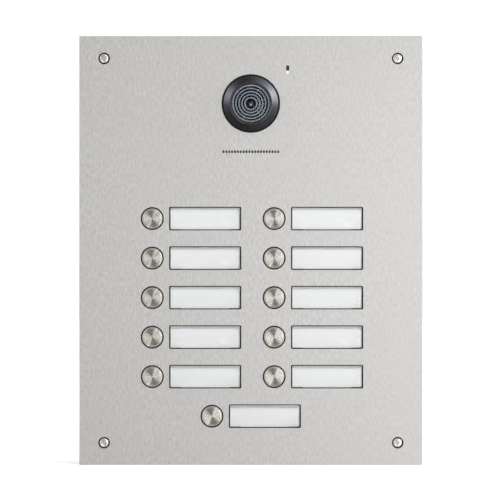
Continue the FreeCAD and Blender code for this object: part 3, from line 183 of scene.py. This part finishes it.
def brushed_plate():
    """Short-grain brushed stainless steel, with the grain upright."""
    colour = (0.540, 0.535, 0.528)
    made, tree, shader = new_material("stainless_plate", Metallic=0.88, Anisotropic=0.6)
    mottle = grain(tree, (0.0013, 0.0013, 0.0042), 3.0, 0.6)
    hairs = grain(tree, (0.00012, 0.00012, 0.0070), 2.0, 0.7)
    cloud = grain(tree, (0.05, 0.05, 0.09), 2.0)
    both = math_node(tree, "ADD", math_node(tree, "MULTIPLY", mottle, 0.55),
                     math_node(tree, "MULTIPLY", hairs, 0.45))
    shade = blend(tree, remap(tree, both, 0, 1, 0.3, 0.7), scaled(colour, 0.70),
                  scaled(colour, 1.26))
    tinted = blend(tree, remap(tree, cloud, 0, 0.35, 0.35, 0.65), shade, scaled(colour, 0.97))
    rough = remap(tree, both, 0.40, 0.56, 0.3, 0.7)
    tangent = add(tree, "ShaderNodeTangent", direction_type="RADIAL", axis="Z").outputs[0]
    link(tree, shader, Base_Color=tinted, Roughness=rough, Tangent=tangent,
         Normal=bump(tree, both, 0.00003, 0.35))
    return made


def turned_metal(name, colour, rough, anisotropy, pitch, depth, darkest=0.90, lightest=1.06):
    """Lathe-turned metal: fine rings about the piece's own Y axis."""
    made, tree, shader = new_material(name, Metallic=1.0, Anisotropic=anisotropy,
                                      Anisotropic_Rotation=0.25)
    fine = rings(tree, pitch)
    wear = grain(tree, (0.004, 0.004, 0.004), 3.0)
    shade = blend(tree, remap(tree, fine, 0, 1, 0.3, 0.7), scaled(colour, darkest),
                  scaled(colour, lightest))
    level = math_node(tree, "ADD", remap(tree, fine, -0.03, 0.03, 0.3, 0.7),
                      remap(tree, wear, rough - 0.01, rough + 0.01, 0.3, 0.7))
    tangent = add(tree, "ShaderNodeTangent", direction_type="RADIAL", axis="Y").outputs[0]
    link(tree, shader, Base_Color=shade, Roughness=level, Tangent=tangent,
         Normal=bump(tree, fine, depth, 0.5))
    return made


def stepped_metal():
    """The baffle: bare turned treads between risers whose colour is darkened as painted shade."""
    made, tree, shader = new_material("blue_grey_baffle", Metallic=1.0)
    fine = rings(tree, 0.00035)
    beyond = math_node(tree, "SUBTRACT", axis_distance(tree), TREAD_RADIUS * MM)
    phase = math_node(tree, "MULTIPLY", beyond, 2 * math.pi / (TREAD_PITCH * MM))
    # Painted shade: by radius, the risers between the treads get a near-black colour that stands in
    # for the shade falling on them.
    painted_riser_shade_mask = remap(tree, math_node(tree, "COSINE", phase), 0, 1, -0.10, 0.60)
    bare = blend(tree, remap(tree, fine, 0, 1, 0.3, 0.7), (0.34, 0.37, 0.41), (0.42, 0.455, 0.50))
    shade = blend(tree, painted_riser_shade_mask, (0.030, 0.032, 0.035), bare)
    link(tree, shader, Base_Color=shade, Roughness=remap(tree, fine, 0.16, 0.28, 0.3, 0.7),
         Normal=bump(tree, fine, 0.000004, 0.4))
    return made


def plain_metal(name, colour, rough=0.35, size=0.0012, depth=0.00002, metallic=1.0, spread=0.08):
    made, tree, shader = new_material(name, Metallic=metallic)
    fine = grain(tree, (size, size, size), 4.0, 0.6)
    broad = grain(tree, (size * 9, size * 9, size * 9), 2.0)
    shade = blend(tree, remap(tree, broad, 0, 1, 0.3, 0.7), scaled(colour, 0.88),
                  scaled(colour, 1.08))
    gloss = remap(tree, fine, rough - spread, rough + spread, 0.3, 0.7)
    link(tree, shader, Base_Color=shade, Roughness=gloss, Normal=bump(tree, fine, depth, 0.4))
    return made


def galvanised():
    """Zinc spangle: flat crystals with slightly different greys."""
    made, tree, shader = new_material("galvanised_sheet", Metallic=1.0)
    where = add(tree, "ShaderNodeTexCoord").outputs["Object"]
    warp = add(tree, "ShaderNodeTexNoise", {"Vector": where, "Scale": 260.0, "Detail": 2.0})
    moved = add(tree, "ShaderNodeVectorMath", {0: warp.outputs["Color"], "Scale": 0.004},
                operation="SCALE")
    shifted = add(tree, "ShaderNodeVectorMath", {0: where, 1: moved.outputs[0]}, operation="ADD")
    cells = add(tree, "ShaderNodeTexVoronoi", {"Vector": shifted.outputs[0], "Scale": 105.0})
    crystal = add(tree, "ShaderNodeSeparateColor", {0: cells.outputs["Color"]})
    edges = add(tree, "ShaderNodeTexVoronoi", {"Vector": shifted.outputs[0], "Scale": 105.0},
                feature="DISTANCE_TO_EDGE")
    scratch = grain(tree, (0.0004, 0.0004, 0.012), 2.0)
    stain = grain(tree, (0.04, 0.04, 0.06), 4.0)
    shade = blend(tree, crystal.outputs[0], (0.37, 0.385, 0.40), (0.51, 0.525, 0.54))
    aged = blend(tree, remap(tree, stain, 0, 0.5, 0.45, 0.75), shade, (0.50, 0.50, 0.49))
    rough = math_node(tree, "ADD", remap(tree, crystal.outputs[1], 0.50, 0.64),
                      remap(tree, scratch, -0.04, 0.04, 0.3, 0.7))
    relief = math_node(tree, "ADD", math_node(tree, "MULTIPLY", crystal.outputs[2], 0.4),
                       remap(tree, edges.outputs["Distance"], 0, 0.6, 0, 0.12))
    link(tree, shader, Base_Color=aged, Roughness=rough, Normal=bump(tree, relief, 0.00004, 0.35))
    return made


def moulded(name, colour, rough=0.5, size=0.0004, depth=0.00003, variation=0.12, specular=0.5):
    """Plastic, rubber, foam or paper: a fine texture, a slow shade and uneven gloss."""
    made, tree, shader = new_material(name, Specular_IOR_Level=specular)
    fine = grain(tree, (size, size, size), 3.0, 0.6)
    broad = grain(tree, (size * 30, size * 30, size * 30), 3.0)
    mixed = math_node(tree, "ADD", math_node(tree, "MULTIPLY", fine, 0.4),
                      math_node(tree, "MULTIPLY", broad, 0.6))
    shade = blend(tree, remap(tree, mixed, 0, 1, 0.3, 0.7), scaled(colour, 1 - variation),
                  scaled(colour, 1 + variation))
    gloss = remap(tree, fine, rough - 0.07, rough + 0.07, 0.3, 0.7)
    link(tree, shader, Base_Color=shade, Roughness=gloss, Normal=bump(tree, fine, depth, 0.5))
    return made


def label_card():
    """Uncoated white card with faint fibres."""
    made, tree, shader = new_material("label_card")
    fibres = grain(tree, (0.0008, 0.0008, 0.00025), 5.0, 0.7)
    cloud = grain(tree, (0.02, 0.02, 0.012), 2.0)
    shade = blend(tree, remap(tree, fibres, 0, 1, 0.3, 0.7), (0.572, 0.556, 0.542),
                  (0.606, 0.589, 0.574))
    tinted = blend(tree, remap(tree, cloud, 0, 0.5, 0.35, 0.65), shade, (0.586, 0.569, 0.553))
    link(tree, shader, Base_Color=tinted, Roughness=remap(tree, fibres, 0.55, 0.75),
         Normal=bump(tree, fibres, 0.00002, 0.3))
    return made


def clear_plastic(name, colour, rough, ior=1.49, marks=0.04, specular=0.5):
    """Clear moulded plastic with faint handling marks."""
    made, tree, shader = new_material(name, IOR=ior, Transmission_Weight=1.0,
                                      Specular_IOR_Level=specular)
    marks_noise = grain(tree, (0.010, 0.010, 0.004), 5.0, 0.7)
    shade = blend(tree, remap(tree, marks_noise, 0, 1, 0.3, 0.7), scaled(colour, 0.985), colour)
    link(tree, shader, Base_Color=shade,
         Roughness=remap(tree, marks_noise, rough, rough + marks, 0.45, 0.8))
    return let_lamps_through(made, tree, shader, colour)


def frosted_guide():
    # Painted glow: the guide gives off a faint light in its own colour, though nothing lights it
    # from inside.
    made, tree, shader = new_material("light_guide", IOR=1.49, Transmission_Weight=0.35,
                                      Emission_Strength=0.10)
    haze = grain(tree, (0.0006, 0.0006, 0.0006), 3.0)
    shade = blend(tree, haze, (0.62, 0.64, 0.65), (0.72, 0.74, 0.75))
    gloss = remap(tree, haze, 0.28, 0.42)
    link(tree, shader, Base_Color=shade, Emission_Color=shade, Roughness=gloss,
         Normal=bump(tree, haze, 0.00002, 0.3))
    return let_lamps_through(made, tree, shader, (0.9, 0.92, 0.94))


def coated_glass():
    """A coated lens: dark glass with a painted bluish sheen, its colour lighter and bluer towards
    its edge as seen.
    """
    made, tree, shader = new_material("coated_glass", IOR=1.6, Coat_Weight=1.0,
                                      Coat_Roughness=0.02, Coat_IOR=1.9)
    painted_sheen_share = add(tree, "ShaderNodeLayerWeight", {"Blend": 0.35}).outputs["Facing"]
    haze = grain(tree, (0.0006, 0.0006, 0.0006), 2.0)
    # Painted sheen: where the lens is seen edge-on, its colour becomes lighter and bluer.
    shade = blend(tree, painted_sheen_share, (0.010, 0.012, 0.022), (0.09, 0.07, 0.15))
    link(tree, shader, Base_Color=shade, Roughness=remap(tree, haze, 0.04, 0.08))
    return made


def circuit_board():
    """Green solder mask over faint copper tracks."""
    made, tree, shader = new_material("circuit_board")
    where = add(tree, "ShaderNodeTexCoord").outputs["Object"]
    cells = add(tree, "ShaderNodeTexVoronoi", {"Vector": where, "Scale": 330.0},
                distance="MANHATTAN")
    lines = remap(tree, cells.outputs["Distance"], 0, 1, 0.45, 0.55)
    shade = blend(tree, lines, (0.012, 0.115, 0.050), (0.030, 0.190, 0.085))
    haze = grain(tree, (0.004, 0.004, 0.004), 3.0)
    link(tree, shader, Base_Color=shade, Roughness=remap(tree, haze, 0.22, 0.36),
         Normal=bump(tree, lines, 0.00003, 0.3))
    return made


def ribbon():
    """Flat cable: parallel cores as ribs across its width."""
    made, tree, shader = new_material("ribbon_grey")
    where = add(tree, "ShaderNodeTexCoord").outputs["Object"]
    wave = add(tree, "ShaderNodeTexWave", {"Vector": where, "Scale": 250.0},
               bands_direction="DIAGONAL")
    shade = blend(tree, wave.outputs["Fac"], (0.33, 0.33, 0.34), (0.50, 0.50, 0.51))
    haze = grain(tree, (0.003, 0.003, 0.003), 2.0)
    link(tree, shader, Base_Color=shade, Roughness=remap(tree, haze, 0.42, 0.55),
         Normal=bump(tree, wave.outputs["Fac"], 0.0001, 0.4))
    return made


MATERIALS = {
    "stainless_plate": brushed_plate(),
    "turned_steel": turned_metal("turned_steel", (0.585, 0.565, 0.525), 0.27, 1.0, 0.00022,
                                 0.000006),
    "screw_steel": plain_metal("screw_steel", (0.88, 0.865, 0.83), 0.22, 0.0008),
    "galvanised_sheet": galvanised(),
    "black_rubber": moulded("black_rubber", (0.006, 0.006, 0.007), 0.75, 0.0003, 0.00004, 0.12,
                            0.12),
    "grey_foam": moulded("grey_foam", (0.030, 0.030, 0.032), 0.85, 0.0006, 0.0002, 0.25, 0.2),
    "clear_cover": clear_plastic("clear_cover", (0.96, 0.98, 1.0), 0.03, 1.30),
    "clear_dome": clear_plastic("clear_dome", (0.95, 0.97, 0.99), 0.01, 1.15, 0.02, 0.1),
    "light_guide": frosted_guide(),
    "dark_tray": moulded("dark_tray", (0.014, 0.012, 0.010), 0.55, 0.0004, 0.00003, 0.12, 0.2),
    "label_card": label_card(),
    "black_sleeve": moulded("black_sleeve", (0.005, 0.005, 0.006), 0.55, 0.0003, 0.00003, 0.12,
                            0.15),
    "black_anodised": turned_metal("black_anodised", (0.105, 0.107, 0.119), 0.20, 0.60, 0.00050,
                                   0.00002, 0.80, 1.18),
    "blue_grey_baffle": stepped_metal(),
    "coated_glass": coated_glass(),
    "circuit_board": circuit_board(),
    "chip_black": moulded("chip_black", (0.025, 0.025, 0.028), 0.5, 0.0003),
    "led_white": moulded("led_white", (0.86, 0.83, 0.66), 0.3, 0.0003, 0.00002, 0.06),
    "switch_plastic": moulded("switch_plastic", (0.055, 0.055, 0.060), 0.45, 0.0004),
    "spring_wire": plain_metal("spring_wire", (0.66, 0.65, 0.63), 0.25, 0.0006),
    "terminal_green": moulded("terminal_green", (0.055, 0.30, 0.10), 0.35, 0.0005),
    "ribbon_grey": ribbon(),
    "speaker_steel": moulded("speaker_steel", (0.030, 0.030, 0.033), 0.38, 0.0006, 0.00004),
    "speaker_paper": moulded("speaker_paper", (0.045, 0.045, 0.047), 0.75, 0.0007, 0.0001, 0.3),
    "ferrite": plain_metal("ferrite", (0.075, 0.075, 0.082), 0.55, 0.0010, 0.00005, 0.4),
    "capsule_metal": plain_metal("capsule_metal", (0.13, 0.13, 0.14), 0.45, 0.0006),
}


# ---- pieces --------------------------------------------------------------------------------------

def finish_piece(piece, slot, body, *nodes):
    """Give a piece the material of its slot and its body, and hide the CAD nodes that it stands
    for.
    """
    piece.data.materials.clear()
    piece.data.materials.append(MATERIALS[slot])
    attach(piece, body)
    if nodes:
        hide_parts(*nodes)
    return piece


def new_object(name, mesh, origin=(0, 0, 0)):
    piece = bpy.data.objects.new(name, mesh)
    piece.location = origin
    bpy.context.scene.collection.objects.link(piece)
    return piece


def soften(points, closed):
    """Round the corners of a profile.  Points are (depth, radius, fillet) in millimetres; the
    result is a list of (depth, radius, heading), with the profile's heading at that point."""
    result = []
    count = len(points)
    for number, (depth, radius, fillet) in enumerate(points):
        here = Vector((depth, radius))
        before = Vector(points[number - 1][:2]) if closed or number else None
        after = Vector(points[(number + 1) % count][:2]) if closed or number < count - 1 else None
        if before is None or after is None:
            way = (after - here) if before is None else (here - before)
            result.append((depth, radius, math.atan2(way.y, way.x)))
            continue
        way_in, way_out = here - before, after - here
        start = math.atan2(way_in.y, way_in.x)
        turn = (math.atan2(way_out.y, way_out.x) - start + math.pi) % (2 * math.pi) - math.pi
        if not fillet or abs(turn) < 0.02:
            result.append((depth, radius, start + turn / 2))
            continue
        reach = min(fillet * math.tan(abs(turn) / 2), 0.45 * way_in.length, 0.45 * way_out.length)
        bend = reach / math.tan(abs(turn) / 2)
        side = 1 if turn > 0 else -1
        begin = here - way_in.normalized() * reach
        middle = begin + Vector((-math.sin(start), math.cos(start))) * bend * side
        steps = max(2, int(abs(turn) / math.radians(18)))
        for step in range(steps + 1):
            heading = start + turn * step / steps
            spot = middle + Vector((math.sin(heading), -math.cos(heading))) * bend * side
            result.append((spot.x, spot.y, heading))
    return result


def skinned(name, mesh, loops, wrap=False):
    """Join neighbouring rings of vertices, in millimetres, with faces; a ring may be one point."""
    for first, second in zip(loops, loops[1:] + loops[:1] if wrap else loops[1:]):
        segments = max(len(first), len(second))
        for step in range(segments):
            after = (step + 1) % segments
            corners = [first[step % len(first)], first[after % len(first)],
                       second[after % len(second)], second[step % len(second)]]
            unique = list(dict.fromkeys(corners))
            if len(unique) > 2:
                mesh.faces.new(unique).smooth = True
    bmesh.ops.scale(mesh, vec=(MM, MM, MM), verts=mesh.verts)
    bmesh.ops.recalc_face_normals(mesh, faces=mesh.faces)
    data = bpy.data.meshes.new(name)
    mesh.to_mesh(data)
    mesh.free()
    return data


def lathe(name, points, centre, segments=96, closed=True, axis="Y"):
    """Turn a profile about the Y or Z axis through a centre, with exact normals."""
    shifted = points[1:] + points[:1]
    if sum(a[0] * b[1] - b[0] * a[1] for a, b in zip(points, shifted)) < 0:
        points = points[::-1]
    profile = soften(points, closed)
    mesh = bmesh.new()
    loops, normals = [], []
    for depth, radius, heading in profile:
        along, out = math.sin(heading), -math.cos(heading)
        if radius < 1e-6:
            loops.append([mesh.verts.new(turned(depth, 0, 0, axis))])
            normals.append(turned(math.copysign(1, along), 0, 0, axis))
            continue
        ring = []
        for step in range(segments):
            angle = 2 * math.pi * step / segments
            first, second = math.cos(angle), math.sin(angle)
            ring.append(mesh.verts.new(turned(depth, radius * first, radius * second, axis)))
            normals.append(turned(along, out * first, out * second, axis))
        loops.append(ring)
    data = skinned(name, mesh, loops, closed)
    data.normals_split_custom_set_from_vertices([Vector(normal).normalized() for normal in normals])
    return new_object(name, data, centre)


def turned(along, first, second, axis):
    return (first, along, second) if axis == "Y" else (first, second, along)


def softened(name, node, width, angle=35, segments=2, part=None):
    """A copy of a CAD node, or of one loose part of it, with its edges rounded."""
    data = frame["nodes"][node].data.copy()
    data.name = name
    mesh = bmesh.new()
    mesh.from_mesh(data)
    bmesh.ops.remove_doubles(mesh, verts=mesh.verts, dist=1e-6)
    if part:
        others = [vert for vert in mesh.verts if not part(vert.co)]
        bmesh.ops.delete(mesh, geom=others, context="VERTS")
    bmesh.ops.dissolve_limit(mesh, angle_limit=math.radians(1), verts=mesh.verts, edges=mesh.edges)
    mesh.to_mesh(data)
    mesh.free()
    piece = new_object(name, data)
    if width:
        rounding = piece.modifiers.new("rounding", "BEVEL")
        rounding.width = width * MM
        rounding.segments = segments
        rounding.limit_method = "ANGLE"
        rounding.angle_limit = math.radians(angle)
        rounding.use_clamp_overlap = True
        bpy.context.view_layer.update()
        evaluated = piece.evaluated_get(bpy.context.evaluated_depsgraph_get())
        rounded = bpy.data.meshes.new_from_object(evaluated)
        piece.modifiers.clear()
        piece.data = rounded
        bpy.data.meshes.remove(data)
    piece.data.shade_smooth()
    piece.data.set_sharp_from_angle(angle=math.radians(angle))
    return piece


def middle(node):
    low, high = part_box(node)
    return (low + high) / 2


def on_plate(x, z):
    """A point on the front of the plate."""
    return (x, FRONT, z)


def make_button_caps():
    """Turned caps: a flat face, a bevel, a bright shoulder and the retaining flange."""
    for number in range(1, COUNT + 1):
        node = "button_cap_%02d" % number
        spot = middle(node)
        profile = [(1.4, 0, 0), (1.4, 6.4, 0.1), (5.5, 6.4, 0.1), (5.5, 9.3, 0.15),
                   (4.3, 9.3, 0.15), (4.3, 8.25, 0.1), (0.4, 8.25, 0.18), (-0.3, 6.95, 0.12),
                   (-0.3, 3.5, 0), (-0.3, 0, 0)]
        cap = lathe("cap_%02d" % number, profile, on_plate(spot.x, spot.z), 128, closed=False)
        finish_piece(cap, "turned_steel", "button_%02d" % number, node)


def make_springs():
    """Each coil is its own piece, cut out of the springs node near its own button."""
    for number in range(1, COUNT + 1):
        spot = middle("button_cap_%02d" % number)

        def near(point):
            return math.hypot(point.x - spot.x, point.z - spot.z) < 9 * MM

        coil = softened("spring_%02d" % number, "button_springs", 0, 60, part=near)
        finish_piece(coil, "spring_wire", "panel", "button_springs")
        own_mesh(coil)


def make_covers():
    for number in range(1, COUNT + 1):
        node = "name_cover_%02d" % number
        cover = softened("cover_%02d" % number, node, 0.12, 20)
        finish_piece(cover, "clear_cover", "cover_%02d" % number, node)


def star(angle, reach, lobe):
    """Radius of a six-lobed recess at an angle: a circle joined with six small ones on its rim."""
    best = reach
    for number in range(6):
        off = (angle - number * math.pi / 3 - math.pi / 2 + math.pi) % (2 * math.pi) - math.pi
        across = reach * math.sin(off)
        if abs(across) < lobe and abs(off) < math.pi / 2:
            best = max(best, reach * math.cos(off) + math.sqrt(lobe ** 2 - across ** 2))
    return best


def make_screws():
    """Security screws: a domed head with a six-lobed recess and a pin, and a threaded shank.  The
    profile is (depth, radius, 1 where the radius follows the star)."""
    segments = 144
    head_radius, recess_radius, lobe_radius = 3.75, 1.25, 0.38
    shank_radius, groove_radius, thread_start, pitch, turns = 1.95, 1.72, 1.95, 0.7, 17
    low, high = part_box("cover_screws")
    top = [(-0.2, 0, 0), (-0.2, 0.36, 0), (-0.13, 0.45, 0), (1.6, 0.45, 0),
           (0.9, recess_radius, 1), (-0.12, recess_radius, 1), (-0.2, 1.33, 1), (-0.2, 2.05, 0),
           (-0.17, 2.5, 0), (-0.02, 2.95, 0), (0.28, 3.4, 0), (0.7, 3.72, 0),
           (0.82, head_radius, 0), (1.7, head_radius, 0), (1.8, 3.65, 0), (1.8, shank_radius, 0)]
    for turn in range(turns):
        crest = thread_start + pitch * turn
        top += [(crest, shank_radius, 0), (crest + 0.3, groove_radius, 0)]
    top += [(13.5, shank_radius, 0), (13.8, 1.6, 0), (13.8, 0, 0)]
    for number, (side, rise) in enumerate([(1, 1), (-1, 1), (-1, -1), (1, -1)], start=1):
        mesh = bmesh.new()
        loops = []
        for depth, radius, starred in top:
            if radius == 0:
                loops.append([mesh.verts.new((0, depth, 0))])
                continue
            ring = []
            for step in range(segments):
                angle = 2 * math.pi * step / segments
                extra = 0
                if starred:
                    extra = star(angle + 0.3 * number, recess_radius, lobe_radius) - recess_radius
                ring.append(mesh.verts.new(((radius + extra) * math.cos(angle), depth,
                                            (radius + extra) * math.sin(angle))))
            loops.append(ring)
        data = skinned("screw_%d" % number, mesh, loops)
        data.set_sharp_from_angle(angle=math.radians(32))
        x = (high.x if side > 0 else low.x) - side * head_radius * MM
        z = (high.z if rise > 0 else low.z) - rise * head_radius * MM
        screw = new_object("screw_%d" % number, data, on_plate(x, z))
        finish_piece(screw, "screw_steel", "panel", "cover_screws")


def camera_axis():
    spot = middle("camera_bezel")
    return on_plate(spot.x, spot.z)


def make_camera():
    """The turned pieces about the camera's axis.  Depths are behind the front of the plate."""
    centre = camera_axis()
    bezel = [(9, 20.8, 0.3), (-1, 20.8, 0.05), (-1, 22.4, 0.15), (-1.7, 22.4, 0.35),
             (-6.6, 17.3, 0.45), (-6.6, 15.95, 0.15), (-5.4, 15.95, 0.05), (-5.4, 16.6, 0.05),
             (9, 16.6, 0.2)]
    finish_piece(lathe("bezel", bezel, centre, 192), "black_anodised", "panel", "camera_bezel")
    seal = [(0, 20.95, 0.05), (0, 23.85, 0.12), (-0.5, 23.85, 0.3), (-1, 23.35, 0.3),
            (-1, 20.95, 0.05)]
    finish_piece(lathe("bezel_seal", seal, centre, 192), "black_rubber", "panel", "camera_seal")
    mouth_depth, mouth_radius, riser = -3.6, 13.9, 1.4
    baffle = [(mouth_depth, mouth_radius, 0.15)]
    for step in range(1, 5):
        depth = mouth_depth + riser * step
        radius = mouth_radius - TREAD_PITCH * step
        baffle += [(depth, radius + TREAD_PITCH / 2, 0.12), (depth, radius, 0.12)]
    baffle += [(6, 4.3, 0.1), (6, 16.4, 0.1), (mouth_depth, 16.4, 0.1)]
    finish_piece(lathe("baffle", baffle, centre, 160), "blue_grey_baffle", "panel",
                 "camera_baffle")
    barrel = [(3, 3.6, 0.1), (4.4, 1.75, 0.03), (4.55, 1.75, 0.03), (4.55, 2.4, 0.02),
              (16, 2.4, 0.1), (16, 6, 0.3), (7, 6, 0.3), (7, 4.1, 0.1), (3, 4.1, 0.15)]
    finish_piece(lathe("barrel", barrel, centre, 96), "black_sleeve", "panel", "lens_barrel")
    make_dome(centre)
    make_lens(centre)


def cap_arc(reach, rise, edge_depth, steps):
    """Points of a dome from its rim to its top: a circle's arc through both."""
    bend = (reach ** 2 + rise ** 2) / (2 * rise)
    limit = math.asin(reach / bend)
    points = []
    for step in range(steps + 1):
        angle = limit * (1 - step / steps)
        depth = edge_depth - (bend * math.cos(angle) - (bend - rise))
        points.append((depth, bend * math.sin(angle), 0))
    return points


def make_dome(centre):
    outside = cap_arc(15.7, 3.2, -5.4, 28)
    inside = cap_arc(14.2, 3.2, -3.9, 28)
    profile = inside[::-1] + [(-3.9, 16.4, 0.05), (-5.4, 16.4, 0.05)] + outside
    dome = lathe("dome", profile, centre, 160, closed=False)
    finish_piece(dome, "clear_dome", "panel", "camera_window")


def make_lens(centre):
    crown = cap_arc(2.35, 0.7, 5.0, 12)
    profile = [(8, 0, 0), (8, 2.35, 0.05)] + crown
    finish_piece(lathe("lens", profile, centre, 64, closed=False), "coated_glass", "panel",
                 "camera_lens")


def make_box_and_grommet():
    box = softened("wall_box", "flush_box", 0.35, 40, 2)
    finish_piece(box, "galvanised_sheet", "panel", "flush_box")
    spot = middle("cable_grommet")
    profile = [(-2.75, 6, 0.6), (2.75, 6, 0.6), (2.75, 12.5, 0.7), (0.75, 12.5, 0.4),
               (0.75, 10, 0.1), (-0.75, 10, 0.1), (-0.75, 12.5, 0.4), (-2.75, 12.5, 0.7)]
    grommet = lathe("grommet", profile, spot, 96, axis="Z")
    finish_piece(grommet, "black_rubber", "panel", "cable_grommet")


def make_light_pipe():
    pipe = softened("light_guide", "light_pipe", 0.12, 35, 2)
    finish_piece(pipe, "light_guide", "panel", "light_pipe")


def dress_nodes():
    """Every CAD node that stays gets the material of its slot."""
    slots = {part["node"]: part["material_slot"] for part in frame["record"]["subparts"]}
    for name, node in frame["nodes"].items():
        node.data.materials.clear()
        node.data.materials.append(MATERIALS[slots[name]])


# ---- studio --------------------------------------------------------------------------------------

# Brightness round the line of sight, as (degrees from +X towards +Z, level).
FRONT_LEVELS = [(-180, 0.76), (-160, 0.70), (-140, 0.62), (-126, 0.66), (-119, 5.60), (-112, 0.50),
                (-98, 0.40), (-84, 0.14), (-72, 0.08), (-58, 0.16), (-40, 0.34), (-20, 0.66),
                (0, 0.76), (20, 0.66), (42, 0.56), (54, 0.66), (61, 4.40), (68, 0.50), (82, 0.40),
                (98, 0.14), (112, 0.08), (124, 0.16), (140, 0.36), (160, 0.68), (180, 0.76)]
SIDE_LEVELS = [(-180, 0.74), (-160, 0.12), (-120, 0.02), (-100, 0.04), (-70, 0.22), (-30, 0.46),
               (-10, 0.92), (0, 2.1), (10, 5.5), (25, 8.8), (40, 4.8), (50, 2.6), (60, 1.7),
               (70, 1.05), (90, 0.32), (112, 0.16), (130, 0.55), (145, 2.4), (157, 3.9), (170, 2.4),
               (180, 0.74)]


def ramp(tree, share, levels):
    made = add(tree, "ShaderNodeValToRGB", {0: share})
    stops = made.color_ramp
    while len(stops.elements) > 1:
        stops.elements.remove(stops.elements[-1])
    top = max(level for angle, level in levels)
    for number, (angle, level) in enumerate(levels):
        place = (angle + 180) / 360
        stop = stops.elements[0] if number == 0 else stops.elements.new(place)
        stop.position = place
        stop.color = (level / top, level / top, level / top, 1)
    scaled_up = add(tree, "ShaderNodeVectorMath", {0: made.outputs["Color"], "Scale": top},
                    operation="SCALE")
    return scaled_up.outputs[0]


def set_world():
    """White where the camera sees it.  Reflections see, outwards from the line of sight, an even
    middle, sectors of FRONT_LEVELS, a warm bright ring, sectors of SIDE_LEVELS and an even back."""
    world = bpy.data.worlds.new("studio")
    bpy.context.scene.world = world
    world.use_nodes = True
    tree = world.node_tree
    tree.nodes.clear()
    where = add(tree, "ShaderNodeTexCoord").outputs["Generated"]
    parts = add(tree, "ShaderNodeSeparateXYZ", {0: where})
    azimuth = math_node(tree, "ARCTAN2", parts.outputs["Z"], parts.outputs["X"])
    share = remap(tree, azimuth, 0, 1, -math.pi, math.pi)
    front = ramp(tree, share, FRONT_LEVELS)
    side = ramp(tree, share, SIDE_LEVELS)
    towards = math_node(tree, "MULTIPLY", parts.outputs["Y"], -1.0)
    ringed = blend(tree, remap(tree, towards, 1, 0, 0.64, 0.76), front, (1.3, 1.27, 1.21))
    sided = blend(tree, remap(tree, towards, 1, 0, 0.17, 0.33), ringed, side)
    centred = blend(tree, remap(tree, towards, 0, 1, 0.982, 0.994), sided, (0.60, 0.60, 0.59))
    lit = blend(tree, remap(tree, towards, 0, 1, -0.10, -0.27), centred, (0.9, 0.9, 0.9))
    path = add(tree, "ShaderNodeLightPath")
    seen = blend(tree, path.outputs["Is Camera Ray"], lit, (1.3, 1.3, 1.3))
    background = add(tree, "ShaderNodeBackground", {"Color": seen, "Strength": 0.80})
    output = add(tree, "ShaderNodeOutputWorld")
    tree.links.new(background.outputs[0], output.inputs[0])


def softbox(name, spot, target, width, height, power, colour=(1, 1, 1), glossy=True, diffuse=True):
    lamp = bpy.data.lights.new(name, "AREA")
    lamp.shape = "RECTANGLE"
    lamp.size, lamp.size_y = width, height
    lamp.energy = power
    lamp.color = colour
    made = bpy.data.objects.new(name, lamp)
    made.location = spot
    way = Vector(target) - Vector(spot)
    made.rotation_euler = way.to_track_quat("-Z", "Y").to_euler()
    made.visible_camera = False
    made.visible_glossy = glossy
    made.visible_diffuse = diffuse
    made.visible_transmission = False
    bpy.context.scene.collection.objects.link(made)


def set_lights():
    """A key at the upper right for matt surfaces, and a reflector at the right for metal."""
    softbox("key", (0.60, -1.07, 0.76), (0, FRONT, 0), 0.20, 0.20, 18.5, (1, 0.99, 0.97),
            glossy=False)
    softbox("side", (0.45, -1.10, -0.10), (0.05, FRONT, 0), 0.45, 0.9, 4.3, diffuse=False)


def set_floor():
    """A seamless pale floor."""
    low = cad_box[0].z
    mesh = bmesh.new()
    bmesh.ops.create_grid(mesh, x_segments=60, y_segments=60, size=6)
    bmesh.ops.translate(mesh, verts=mesh.verts, vec=(0, 0, low))
    data = bpy.data.meshes.new("floor")
    mesh.to_mesh(data)
    mesh.free()
    floor = new_object("floor", data)
    made, tree, shader = new_material("floor_paper", Emission_Strength=0.35)
    shade = grain(tree, (0.4, 0.4, 0.4), 2.0)
    colour = blend(tree, shade, (0.93, 0.93, 0.93), (0.95, 0.95, 0.95))
    rough = remap(tree, shade, 0.85, 0.95)
    link(tree, shader, Base_Color=colour, Emission_Color=colour, Roughness=rough)
    floor.data.materials.append(made)
    floor.visible_glossy = False


def set_camera():
    """Square on to the plate, from 2.8 m."""
    distance = 2.8
    across = 0.408
    view = bpy.data.cameras.new("view")
    view.sensor_width = 36
    view.lens = 36 * distance / across
    view.clip_start, view.clip_end = 0.05, 50
    camera = bpy.data.objects.new("view", view)
    camera.location = (PLATE_MIDDLE.x - 0.73 * MM, FRONT - distance, PLATE_MIDDLE.z + 0.47 * MM)
    camera.rotation_euler = (math.pi / 2, 0, 0)
    bpy.context.scene.collection.objects.link(camera)
    bpy.context.scene.camera = camera
    bpy.context.scene.view_settings.view_transform = "Standard"
    bpy.context.scene.view_settings.look = "None"


dress_nodes()
make_button_caps()
make_springs()
make_covers()
make_screws()
make_camera()
make_box_and_grommet()
make_light_pipe()
set_world()
set_lights()
set_floor()
set_camera()
